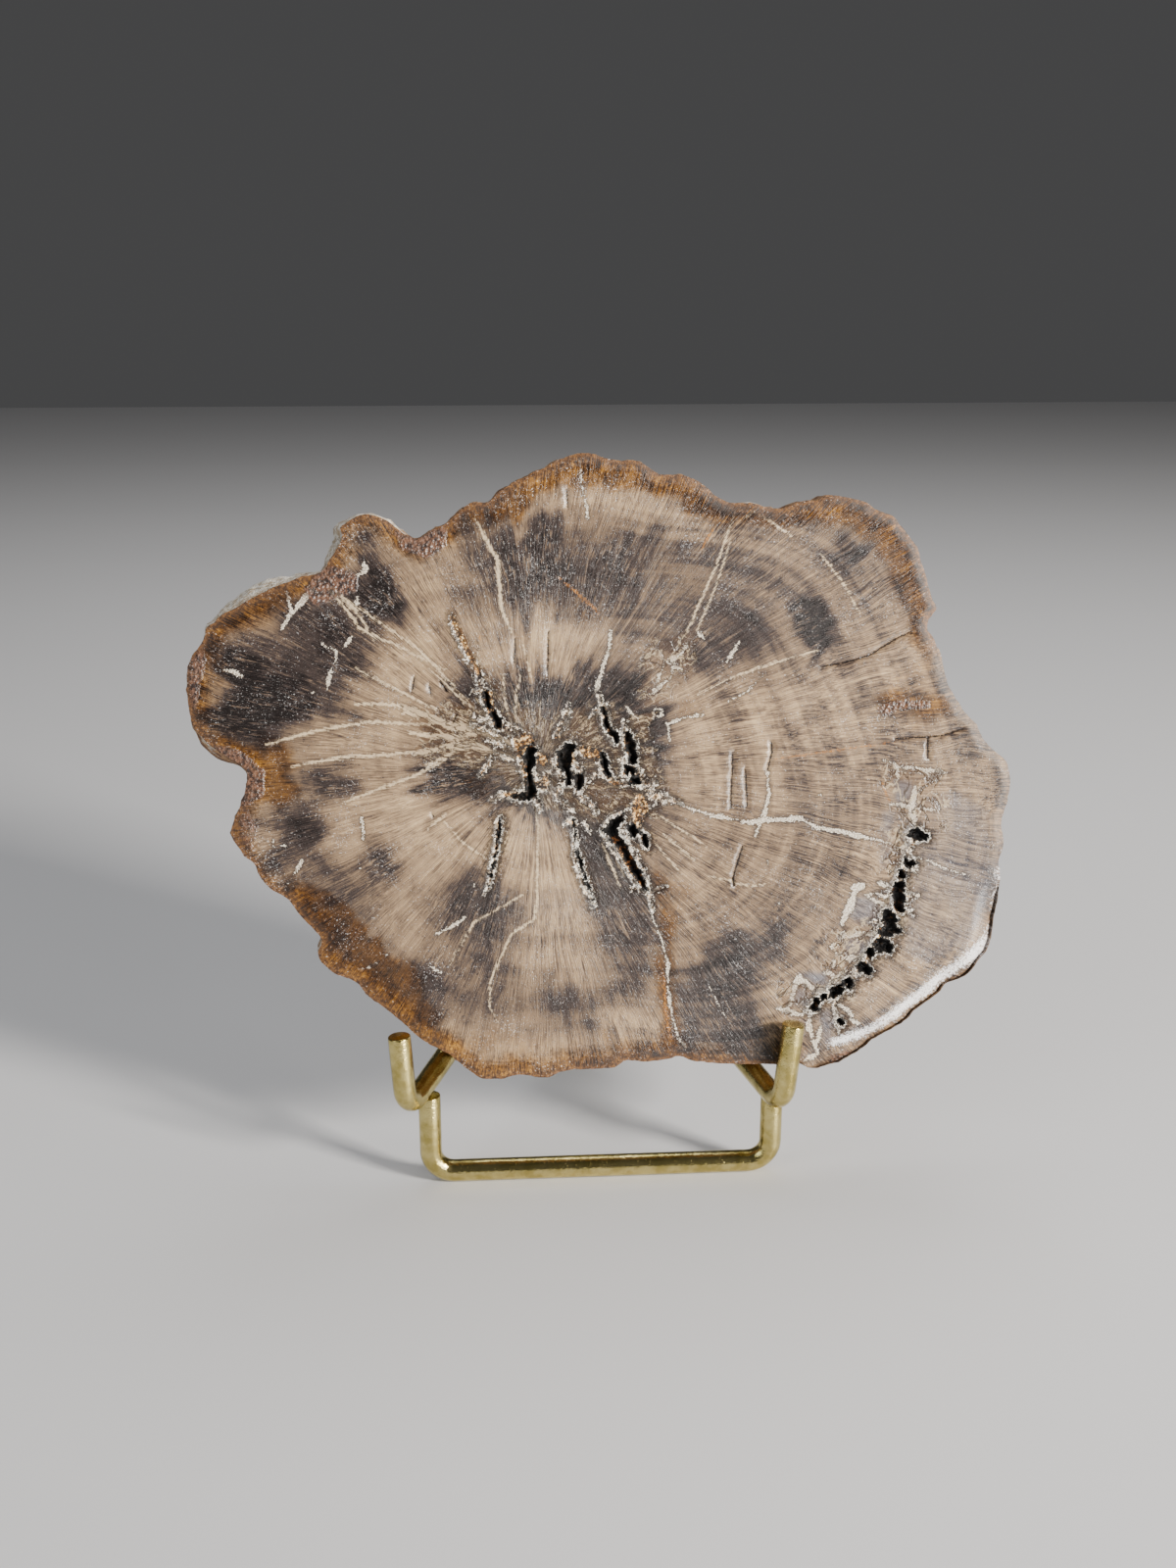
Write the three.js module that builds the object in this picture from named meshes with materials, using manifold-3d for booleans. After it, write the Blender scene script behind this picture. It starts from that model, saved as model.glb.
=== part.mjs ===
// A slice of petrified wood standing on a bent-wire easel.
//
// The slice leans back against the easel's rest, with its lower edge on two arms whose ends turn up
// in front of it. Millimetres, +Z up, the polished face looks towards -Y. Lengths along the slice are
// u (to the right) and v (up the face), and its depth runs from the polished face to the back.

import * as THREE from 'three';
import { mergeVertices } from 'three/addons/utils/BufferGeometryUtils.js';
import Module from 'manifold-3d';

// Driving dimensions
const WIRE_DIAMETER = 4.5;
const WIRE_SIDES = 12;
const SLICE_THICKNESS = 12;
const SLICE_LEAN = THREE.MathUtils.degToRad(13.5);
const SLICE_SEAT = new THREE.Vector3(-0.2, -5.3, 21.6);
const EDGE_BEVEL = 0.9;
const FURROW_DEPTH = 0.35;
const HOLLOW_DEPTH = 3.2;
const GAP = 0.3;
const FOOT_HALF_WIDTH = 35.1;
const FOOT_BEND = 4.8;
const FOOT_Y = -0.2;
const APEX_HEIGHT = 80;
const APEX_BEND = 9;
const LEG_REACH = 72;
const ORIGIN = new THREE.Vector3(1.1, 32.8, 0);

// The two ends of the easel's hooks, bent by hand and so not quite alike: where each prong ends, the
// corner where it turns into the arm, and the corner where the arm turns up into the rest.
const LEFT_HOOK = {
  tip: new THREE.Vector3(-40.4, -6.6, 36),
  corner: new THREE.Vector3(-39.4, -7, 19.8),
  heel: new THREE.Vector3(-29.6, 13, 25.3),
};
const RIGHT_HOOK = {
  tip: new THREE.Vector3(37.8, -6.6, 36.2),
  corner: new THREE.Vector3(36, -7, 18.5),
  heel: new THREE.Vector3(29.8, 12.5, 20.8),
};

// The face's outline, [u, v], from the left end over the top and back along the foot of the slice
const OUTLINE = [
  [-80.3, 82.9], [-80, 86.5], [-78.8, 89.1], [-76.8, 91.8], [-76.2, 94.1], [-74.7, 95.3],
  [-72.6, 97.1], [-70, 98.2], [-67.4, 99.9], [-64.7, 101.2], [-62.4, 102.2], [-59.7, 103.2],
  [-57.1, 104.1], [-54.7, 104.4], [-52.9, 105.6], [-51.8, 107.4], [-50.9, 108.8], [-50, 110],
  [-49.5, 111.8], [-49.9, 113.2], [-48.5, 114.4], [-46.8, 115.4], [-44.7, 116], [-42.6, 115.6],
  [-40.6, 114.8], [-38.8, 113.5], [-37.1, 112.1], [-35, 111.1], [-33.2, 111.8], [-31.5, 113.1],
  [-29.7, 113.6], [-27.6, 115.3], [-25.3, 117.4], [-22.6, 118.1], [-20.6, 118.1], [-19.1, 119.7],
  [-17.4, 120.9], [-15.3, 122.2], [-12.9, 123.1], [-11.8, 124], [-9.7, 124.6], [-8.2, 125.6],
  [-5.9, 126.6], [-2.9, 127.4], [0, 127.4], [2.1, 126.6], [4.7, 126], [7.6, 126.1], [10, 125.3],
  [12.4, 123.6], [15, 123.1], [17.6, 123.1], [20.3, 122.1], [22.4, 120.7], [24.1, 119.1],
  [26.5, 117.8], [29.7, 117.4], [31.5, 117.5], [34.5, 116.6], [37.4, 116.4], [39.8, 117.2],
  [42.1, 117.8], [44.5, 117.9], [45.9, 118.7], [48.6, 118.7], [51.5, 118.2], [54.5, 117.2],
  [56.5, 115.9], [59.8, 114.6], [61.5, 112.4], [63.3, 110.3], [64.8, 107.9], [65.5, 105.3],
  [66.5, 102.6], [67.1, 100], [68, 97.6], [68.7, 96.2], [68, 95], [66.9, 93.5], [66.7, 92.1],
  [68, 90], [69.5, 86.8], [70.1, 83.8], [71.2, 80.3], [73, 77.4], [74.8, 74.7], [76.8, 72.6],
  [78, 70], [79.8, 67.9], [81.5, 66.5], [83, 64.7], [83.6, 62], [83.5, 59.2], [82.4, 54.8],
  [81.8, 52.1], [82.3, 49.2], [81.8, 46.5], [81.2, 44.8], [81.6, 42.7], [81.4, 39.2],
  [80.9, 36.2], [80.2, 32.7], [79.8, 29.2], [78.7, 26.5], [76.8, 24.2], [74.8, 21.8],
  [72.1, 20.6], [70.1, 19.8], [68.6, 18], [66.2, 16.2], [63.9, 14.8], [62.4, 13], [60.1, 11.5],
  [57.4, 10.1], [55.1, 8.9], [53.3, 7.4], [51.5, 6.2], [49.8, 5.4], [48, 4.4], [45.6, 3.9],
  [43.6, 3.4], [41.5, 3.6], [40.2, 4.8], [38, 5.2], [35.6, 4.4], [33, 4.5], [30.4, 4.6],
  [25.3, 4.8], [21.2, 5.2], [18.8, 5.5], [17.1, 6.1], [15.6, 6.7], [13.5, 6.2], [10.6, 5.8],
  [7.6, 5.9], [5.3, 6.2], [3.8, 5.5], [2.4, 4.8], [-0.6, 4.6], [-5.3, 4.6], [-8.2, 4.2],
  [-10.6, 3.2], [-12.9, 3.2], [-15.3, 3.8], [-17.6, 3.8], [-20, 3.2], [-24.1, 3.3],
  [-25.6, 4.2], [-27.1, 5.3], [-29.1, 7.1], [-30.9, 8.6], [-32.9, 9.8], [-35, 10.9],
  [-37.4, 12.7], [-38.5, 13.9], [-40.9, 16.2], [-43.8, 18.6], [-46.8, 20.9], [-48.5, 23.3],
  [-50.9, 24.5], [-52.6, 25.1], [-54.4, 26.5], [-55.9, 28.3], [-56.3, 29.8], [-55.6, 31.5],
  [-55.6, 32.7], [-56.5, 33.9], [-57.9, 35.4], [-59.7, 37.4], [-60.9, 39.2], [-62.4, 40.9],
  [-65, 42.4], [-66.2, 43.9], [-67.4, 45.6], [-68.2, 47.7], [-70, 49.1], [-71.2, 50.9],
  [-72.4, 53], [-72.5, 54.8], [-71.8, 56.8], [-70.9, 58.6], [-70.3, 60.1], [-69.7, 62.1],
  [-69.1, 65], [-69.4, 66.5], [-70.9, 67.6], [-72.9, 68.8], [-74.7, 70], [-76.8, 71.8],
  [-78.2, 73.5], [-79.4, 75.3], [-79.8, 77.1], [-80.1, 79.4],
];

// Open hollows in the face, [u, v]: round the pith, along the radial cracks and along the curved row
// of pits near the right edge
const HOLLOWS = [
  [[-14.6, 69], [-13, 70.5], [-11.8, 69.5], [-12, 67], [-12.8, 65], [-12.6, 63], [-13, 61],
    [-14.6, 59.6], [-17, 59.4], [-18.2, 60], [-15, 60.9], [-14.2, 62.5], [-14.3, 65], [-14.8, 67]],
  [[-6.3, 70], [-5, 69.8], [-5.2, 67], [-5.8, 65], [-5, 63.5], [-6.5, 62.6], [-7.6, 64],
    [-7.8, 66.5], [-7.2, 68.5]],
  [[-4.8, 63.2], [-3.6, 63.3], [-3.2, 62.2], [-4, 61.3], [-4.9, 62]],
  [[0.3, 78.6], [1.5, 75.2], [2.2, 72.6], [1.4, 69.4], [0.9, 66.8], [2.2, 65], [3, 66.2],
    [2.5, 69], [3.9, 71.6], [3, 74.4], [1.4, 77.8]],
  [[5.3, 73.8], [6.2, 72], [7.6, 70], [8, 67.5], [7.2, 66.6], [6.2, 68.5], [5.4, 71]],
  [[5.2, 63.8], [6.5, 64.5], [8, 63.5], [7.6, 62.4], [5.6, 62.6]],
  [[4.8, 56.4], [2, 55.2], [0.8, 53], [1.5, 51.2], [4, 48.2], [6, 44.5], [8.5, 41], [9.8, 40.6],
    [9.6, 42], [9, 44.5], [7, 48.5], [5, 51.8], [3.2, 53.5], [5, 55.6]],
  [[-5.2, 55], [-4.8, 50], [-4.6, 47], [-3.2, 43], [-1.6, 40], [-1.1, 38.4], [-1.6, 41.5],
    [-2.6, 44.8], [-3.4, 48], [-4.2, 51], [-4.6, 54.8]],
  [[-19.8, 56], [-20.4, 53], [-20.8, 50.5], [-21.6, 46], [-22.4, 42], [-21.4, 43.5],
    [-20.4, 47], [-19.6, 50.6], [-19, 53.5], [-19.2, 55.8]],
  [[-22.2, 81.5], [-21.4, 78], [-20.6, 75.5], [-19.9, 73], [-19.2, 73.6], [-19.9, 77],
    [-21, 81]],
  [[62.1, 50.4], [63.4, 51.6], [65.2, 51.2], [66.6, 50.4], [65, 49.7], [63.4, 50]],
  [[61.5, 43], [60, 41], [59.8, 38], [59, 35.6], [60.5, 35], [62.5, 34.8], [61.5, 36.5],
    [61.2, 39], [62, 41.5]],
  [[58.6, 34.6], [57.4, 33.4], [56.4, 31.4], [58.4, 30.4], [60.3, 31], [59.6, 33]],
  [[55.2, 28.6], [56.5, 29.6], [58.6, 29.2], [59.2, 27.8], [58, 26.6], [56.2, 27.2]],
  [[46, 18.6], [47.6, 20], [49, 21.6], [50.6, 21], [50.2, 19.8], [48.6, 19.6], [47.4, 18.2]],
];

const stone = new THREE.MeshStandardMaterial({ color: 0x9c8b7d, roughness: 0.35, metalness: 0 });
const brass = new THREE.MeshStandardMaterial({ color: 0xcdb872, roughness: 0.22, metalness: 1 });

// Slice of petrified wood

// How far the bark side swells out past the face towards the back: a little all round, and more on
// the upper left lobes, where its pale rind shows, and under the left one
const RIND_BULGES = [
  { u: -67, v: 100, reach: 9, out: 2.3 },
  { u: -51, v: 111, reach: 5, out: 1.8 },
  { u: -76, v: 70, reach: 6, out: 1.8 },
];

function swell(u, v) {
  return RIND_BULGES.reduce((sum, bulge) => {
    const away = Math.hypot(u - bulge.u, v - bulge.v) / bulge.reach;
    return sum + bulge.out * Math.exp(-away * away);
  }, 0.8);
}

function outlineNormals(points) {
  return points.map((p, i) => {
    const before = points[(i + points.length - 1) % points.length];
    const after = points[(i + 1) % points.length];
    return new THREE.Vector2(after.y - before.y, before.x - after.x).normalize();
  });
}

// One ring of the side at a depth: the outline moved outwards by the swell and inwards by an inset
function sideRing(points, normals, depth, swellShare, inset) {
  const centre = new THREE.Vector2(0, 64);
  return points.map((p, i) => {
    const angle = Math.atan2(p.y - centre.y, p.x - centre.x);
    const furrow = FURROW_DEPTH * swellShare * (Math.sin(47 * angle) + Math.sin(83 * angle + depth));
    const out = swellShare * swell(p.x, p.y) + furrow - inset;
    return new THREE.Vector3(p.x + normals[i].x * out, depth, p.y + normals[i].y * out);
  });
}

function sliceBody() {
  const points = OUTLINE.map(([u, v]) => new THREE.Vector2(u, v)).reverse();
  const normals = outlineNormals(points);
  const T = SLICE_THICKNESS;
  const rings = [
    sideRing(points, normals, 0, 0, EDGE_BEVEL * 0.5),
    sideRing(points, normals, EDGE_BEVEL, 0.1, 0),
    sideRing(points, normals, T * 0.35, 0.6, 0),
    sideRing(points, normals, T * 0.7, 1, 0),
    sideRing(points, normals, T - EDGE_BEVEL, 0.9, 0),
    sideRing(points, normals, T, 0.7, EDGE_BEVEL),
  ];
  const n = points.length;
  const positions = rings.flat().flatMap((p) => [p.x, p.y, p.z]);
  const indices = [];
  for (let r = 0; r < rings.length - 1; r++) {
    for (let i = 0; i < n; i++) {
      const a = r * n + i;
      const b = r * n + ((i + 1) % n);
      indices.push(a, a + n, b, b, a + n, b + n);
    }
  }
  for (const last of [false, true]) {
    const start = last ? (rings.length - 1) * n : 0;
    const flat = (last ? rings.at(-1) : rings[0]).map((p) => new THREE.Vector2(p.x, p.z));
    for (const [a, b, c] of THREE.ShapeUtils.triangulateShape(flat, [])) {
      indices.push(...(last ? [start + a, start + c, start + b] : [start + a, start + b, start + c]));
    }
  }
  const body = new THREE.BufferGeometry();
  body.setAttribute('position', new THREE.Float32BufferAttribute(positions, 3));
  body.setIndex(indices);
  return body;
}

// A hollow's cutter: its outline pushed straight back through the face
function hollowCutter(outline) {
  const points = outline.map(([u, v]) => new THREE.Vector2(u, v));
  if (THREE.ShapeUtils.isClockWise(points)) points.reverse();
  const cutter = new THREE.ExtrudeGeometry(new THREE.Shape(points), {
    depth: HOLLOW_DEPTH + 1, bevelEnabled: false, steps: 1,
  });
  cutter.rotateX(Math.PI / 2);
  cutter.translate(0, HOLLOW_DEPTH, 0);
  return cutter;
}

// Solids for cutting and joining

const wasm = await Module();
wasm.setup();

function toSolid(geometry) {
  const bare = geometry.clone();
  bare.deleteAttribute('normal');
  bare.deleteAttribute('uv');
  const merged = mergeVertices(bare, 1e-4);
  return new wasm.Manifold(new wasm.Mesh({
    numProp: 3,
    vertProperties: new Float32Array(merged.attributes.position.array),
    triVerts: new Uint32Array(merged.index.array),
  }));
}

function toGeometry(solid) {
  const mesh = solid.getMesh();
  const geometry = new THREE.BufferGeometry();
  geometry.setAttribute('position', new THREE.BufferAttribute(mesh.vertProperties, 3));
  geometry.setIndex(new THREE.BufferAttribute(mesh.triVerts, 1));
  geometry.computeVertexNormals();
  return geometry;
}

function makeSlice() {
  let solid = toSolid(sliceBody());
  for (const outline of HOLLOWS) solid = solid.subtract(toSolid(hollowCutter(outline)));
  return toGeometry(solid);
}

// Bent wire

// The points of a wire's centre line: straight between the corners, with an arc at each
function bentPath(corners, radii, step = THREE.MathUtils.degToRad(15)) {
  const path = [corners[0].clone()];
  for (let i = 1; i < corners.length - 1; i++) {
    const into = corners[i].clone().sub(corners[i - 1]).normalize();
    const out = corners[i + 1].clone().sub(corners[i]).normalize();
    const turn = into.angleTo(out);
    const radius = radii[i - 1];
    const setback = radius * Math.tan(turn / 2);
    const start = corners[i].clone().addScaledVector(into, -setback);
    const inward = out.clone().addScaledVector(into, -out.dot(into)).normalize();
    const centre = start.clone().addScaledVector(inward, radius);
    const count = Math.max(2, Math.ceil(turn / step));
    for (let k = 0; k <= count; k++) {
      const angle = (turn * k) / count;
      path.push(centre.clone()
        .addScaledVector(inward, -radius * Math.cos(angle))
        .addScaledVector(into, radius * Math.sin(angle)));
    }
  }
  path.push(corners.at(-1).clone());
  return path;
}

// A round wire along a path, with flat ends. `side` is a direction across the wire at its start that
// one facet faces, and a foot end is cut level with the surface that the easel stands on.
function wire(path, side, levelEnd = false) {
  const radius = WIRE_DIAMETER / 2 / Math.cos(Math.PI / WIRE_SIDES);
  const tangents = path.map((p, i) => {
    const before = path[Math.max(0, i - 1)];
    const after = path[Math.min(path.length - 1, i + 1)];
    const into = p.clone().sub(before).normalize();
    const out = after.clone().sub(p).normalize();
    return into.add(out).normalize();
  });
  let across = side.clone().addScaledVector(tangents[0], -side.dot(tangents[0])).normalize();
  const positions = [];
  path.forEach((point, i) => {
    const tangent = tangents[i];
    across.addScaledVector(tangent, -across.dot(tangent)).normalize();
    const other = tangent.clone().cross(across);
    for (let k = 0; k < WIRE_SIDES; k++) {
      const angle = ((k + 0.5) / WIRE_SIDES) * 2 * Math.PI;
      const p = point.clone()
        .addScaledVector(across, radius * Math.cos(angle))
        .addScaledVector(other, radius * Math.sin(angle));
      if (levelEnd && i === path.length - 1) p.addScaledVector(tangent, -p.z / tangent.z);
      positions.push(p.x, p.y, p.z);
    }
  });
  const indices = [];
  for (let i = 0; i < path.length - 1; i++) {
    for (let k = 0; k < WIRE_SIDES; k++) {
      const a = i * WIRE_SIDES + k;
      const b = i * WIRE_SIDES + ((k + 1) % WIRE_SIDES);
      indices.push(a, b, a + WIRE_SIDES, b, b + WIRE_SIDES, a + WIRE_SIDES);
    }
  }
  const end = (path.length - 1) * WIRE_SIDES;
  for (let k = 1; k < WIRE_SIDES - 1; k++) {
    indices.push(0, k + 1, k, end, end + k, end + k + 1);
  }
  const geometry = new THREE.BufferGeometry();
  geometry.setAttribute('position', new THREE.Float32BufferAttribute(positions, 3));
  geometry.setIndex(indices);
  geometry.computeVertexNormals();
  return geometry;
}

// The top of the rest, where the two sides of the hook wire meet behind the slice
const restSlope = Math.tan(SLICE_LEAN);
const sliceBackY = (z) => SLICE_SEAT.y + SLICE_THICKNESS / Math.cos(SLICE_LEAN)
  + (z - SLICE_SEAT.z) * restSlope;
const wireOff = (WIRE_DIAMETER / 2 + GAP) / Math.cos(SLICE_LEAN) - 0.4;
const apex = new THREE.Vector3(0, sliceBackY(APEX_HEIGHT) + wireOff, APEX_HEIGHT);

// From one prong's tip round the rest to the other prong's tip
const hookPath = bentPath([
  LEFT_HOOK.tip, LEFT_HOOK.corner, LEFT_HOOK.heel, apex,
  RIGHT_HOOK.heel, RIGHT_HOOK.corner, RIGHT_HOOK.tip,
], [3.8, 5, APEX_BEND, 5, 3.8]);
const restTop = hookPath.reduce((highest, p) => (p.z > highest.z ? p : highest));

// The height of an arm's underside over the foot
function armUnderside(hook) {
  const share = (FOOT_Y - hook.corner.y) / (hook.heel.y - hook.corner.y);
  const axis = THREE.MathUtils.lerp(hook.corner.z, hook.heel.z, share);
  return axis - WIRE_DIAMETER / 2 / Math.cos(Math.PI / WIRE_SIDES) - GAP * 3;
}

// The front foot lies on the surface and turns up to an arm at each end
function frontFoot() {
  const axis = WIRE_DIAMETER / 2;
  const corners = [
    new THREE.Vector3(-FOOT_HALF_WIDTH, FOOT_Y, armUnderside(LEFT_HOOK)),
    new THREE.Vector3(-FOOT_HALF_WIDTH, FOOT_Y, axis),
    new THREE.Vector3(FOOT_HALF_WIDTH, FOOT_Y, axis),
    new THREE.Vector3(FOOT_HALF_WIDTH, FOOT_Y, armUnderside(RIGHT_HOOK)),
  ];
  return wire(bentPath(corners, [FOOT_BEND, FOOT_BEND]), new THREE.Vector3(0, 1, 0));
}

// The rear leg runs from behind the apex of the rest down to the surface
function rearLeg() {
  const foot = new THREE.Vector3(0, LEG_REACH, 0);
  const top = new THREE.Vector3(0, restTop.y, restTop.z);
  const along = foot.clone().sub(top).normalize();
  top.addScaledVector(along, WIRE_DIAMETER / 2 + GAP + 0.45);
  return wire([top, foot], new THREE.Vector3(1, 0, 0), true);
}

function piece(name, geometry, material) {
  const mesh = new THREE.Mesh(geometry, material);
  mesh.name = name;
  return mesh;
}

const slice = piece('petrified_wood_slice', makeSlice(), stone);
slice.rotation.x = -SLICE_LEAN;
slice.position.copy(SLICE_SEAT);

const easel = new THREE.Group();
easel.add(piece('hook_wire', wire(hookPath, new THREE.Vector3(1, 0, 0)), brass));
easel.add(piece('front_foot', frontFoot(), brass));
easel.add(piece('rear_leg', rearLeg(), brass));

const part = new THREE.Group();
part.position.copy(ORIGIN).negate();
part.add(slice, easel);

export default part;
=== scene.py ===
# %% [markdown]
# # A slice of petrified wood on a wire easel
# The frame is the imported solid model: a stone slice and three bent wires, all on one body. This lesson
# dresses it. The slice gets a polished face with open cracks and a rough rind, and the wires get
# round bends and a brass finish.

# %% Load the frame
import math

import bpy
import numpy as np
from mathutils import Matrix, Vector, noise
from mathutils.geometry import delaunay_2d_cdt


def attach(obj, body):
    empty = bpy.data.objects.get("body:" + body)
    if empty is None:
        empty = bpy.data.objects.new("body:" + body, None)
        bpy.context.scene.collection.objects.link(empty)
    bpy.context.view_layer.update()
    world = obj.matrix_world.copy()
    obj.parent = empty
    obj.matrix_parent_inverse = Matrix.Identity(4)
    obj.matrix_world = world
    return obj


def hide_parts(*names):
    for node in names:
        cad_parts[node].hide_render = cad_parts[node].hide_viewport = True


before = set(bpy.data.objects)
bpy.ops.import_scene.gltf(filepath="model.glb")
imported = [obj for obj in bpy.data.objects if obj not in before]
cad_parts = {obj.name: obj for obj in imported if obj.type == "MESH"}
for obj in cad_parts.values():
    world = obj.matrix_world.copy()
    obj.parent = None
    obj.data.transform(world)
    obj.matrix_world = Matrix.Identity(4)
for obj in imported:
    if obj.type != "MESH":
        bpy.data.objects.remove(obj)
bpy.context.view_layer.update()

MM = 0.001

# %% [markdown]
# ## Camera
# The picture was taken by hand from a little above and left of the slice. Its tilt and lens were
# worked out from straight edges that run square to each other, and its turn and place from the
# easel's foot and prongs, so the camera is set by numbers and not by dragging it.

# %% Camera
CAMERA_PLACE = Vector((-24.3, -342.3, 181.6)) * MM
CAMERA_PITCH = math.radians(17.3)
CAMERA_YAW = math.radians(3.77)
CAMERA_LENS = 38.7
SENSOR_WIDTH = 36

bpy.ops.object.camera_add(location=CAMERA_PLACE, rotation=(math.pi / 2 - CAMERA_PITCH, 0, -CAMERA_YAW))
camera = bpy.context.object
camera.name = "camera"
camera.data.lens = CAMERA_LENS
camera.data.sensor_width = SENSOR_WIDTH
camera.data.clip_start = 0.01
bpy.context.scene.camera = camera
print("camera at", [round(c, 3) for c in camera.location])

# %% [markdown]
# ## Floor and studio light
# A plain pale floor and large area lights show the slice without hard shadows: a warm key from the
# right front, a weak cool fill from the left, a light above that draws a bright edge on the wires, and
# a low strip on the right that shines along the polished face.

# %% Floor
def deselect():
    bpy.ops.object.select_all(action="DESELECT")


deselect()
bpy.ops.mesh.primitive_plane_add(size=3, location=(0, 0.4, 0))
floor = bpy.context.object
floor.name = "floor"
print("floor at height", floor.location.z)

# %% Lights
WORLD_GREY = (0.12, 0.12, 0.122, 1)
WORLD_STRENGTH = 0.55


def soft_light(name, place, aim, size, watts, colour):
    """A rectangular light of a size in metres, turned to its aim."""
    deselect()
    turn = (Vector(aim) - Vector(place)).to_track_quat("-Z", "Y").to_euler()
    bpy.ops.object.light_add(type="AREA", location=place, rotation=turn)
    lamp = bpy.context.object
    lamp.name = name
    lamp.data.shape = "RECTANGLE"
    lamp.data.size, lamp.data.size_y = size
    lamp.data.energy = watts
    lamp.data.color = colour


soft_light("key", (0.85, -0.72, 0.5), (0, 0, 0.07), (0.22, 0.22), 30, (1.0, 0.95, 0.88))
soft_light("fill", (-0.9, -0.7, 0.6), (0, 0, 0.07), (0.7, 0.7), 4, (0.92, 0.96, 1.0))
soft_light("top", (0.1, 0.35, 1.0), (0, 0, 0.05), (0.6, 0.6), 5, (1.0, 1.0, 1.0))
soft_light("low strip", (0.62, -0.72, 0.12), (0.04, 0, 0.05), (0.4, 0.16), 7, (1.0, 0.98, 0.95))

world = bpy.data.worlds.new("studio")
bpy.context.scene.world = world
world.use_nodes = True
background = world.node_tree.nodes["Background"]
background.inputs["Color"].default_value = WORLD_GREY
background.inputs["Strength"].default_value = WORLD_STRENGTH

# %% [markdown]
# ## Where the slice stands
# The slice leans back against the easel. Everything on it is drawn in its own flat millimetres, u to
# the right and v up the polished face, with the depth running towards the back, and one function
# turns that into the frame's metres.

# %% Slice placing
SLICE_LEAN = math.radians(13.5)
SLICE_SEAT = Vector((-1.3, -38.1, 21.6))
SLICE_THICKNESS = 12
PITH = (-12.0, 66.0)


def placed(u, depth, v):
    """Slice millimetres to frame metres, for whole arrays."""
    x = SLICE_SEAT.x + u
    y = SLICE_SEAT.y + depth * math.cos(SLICE_LEAN) + v * math.sin(SLICE_LEAN)
    z = SLICE_SEAT.z - depth * math.sin(SLICE_LEAN) + v * math.cos(SLICE_LEAN)
    return np.stack([x, y, z], axis=-1) * MM


face_top = placed(*np.array([[0], [0], [127]]))[0]
print("the top of the face stands at", [round(c / MM, 1) for c in face_top])
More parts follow.
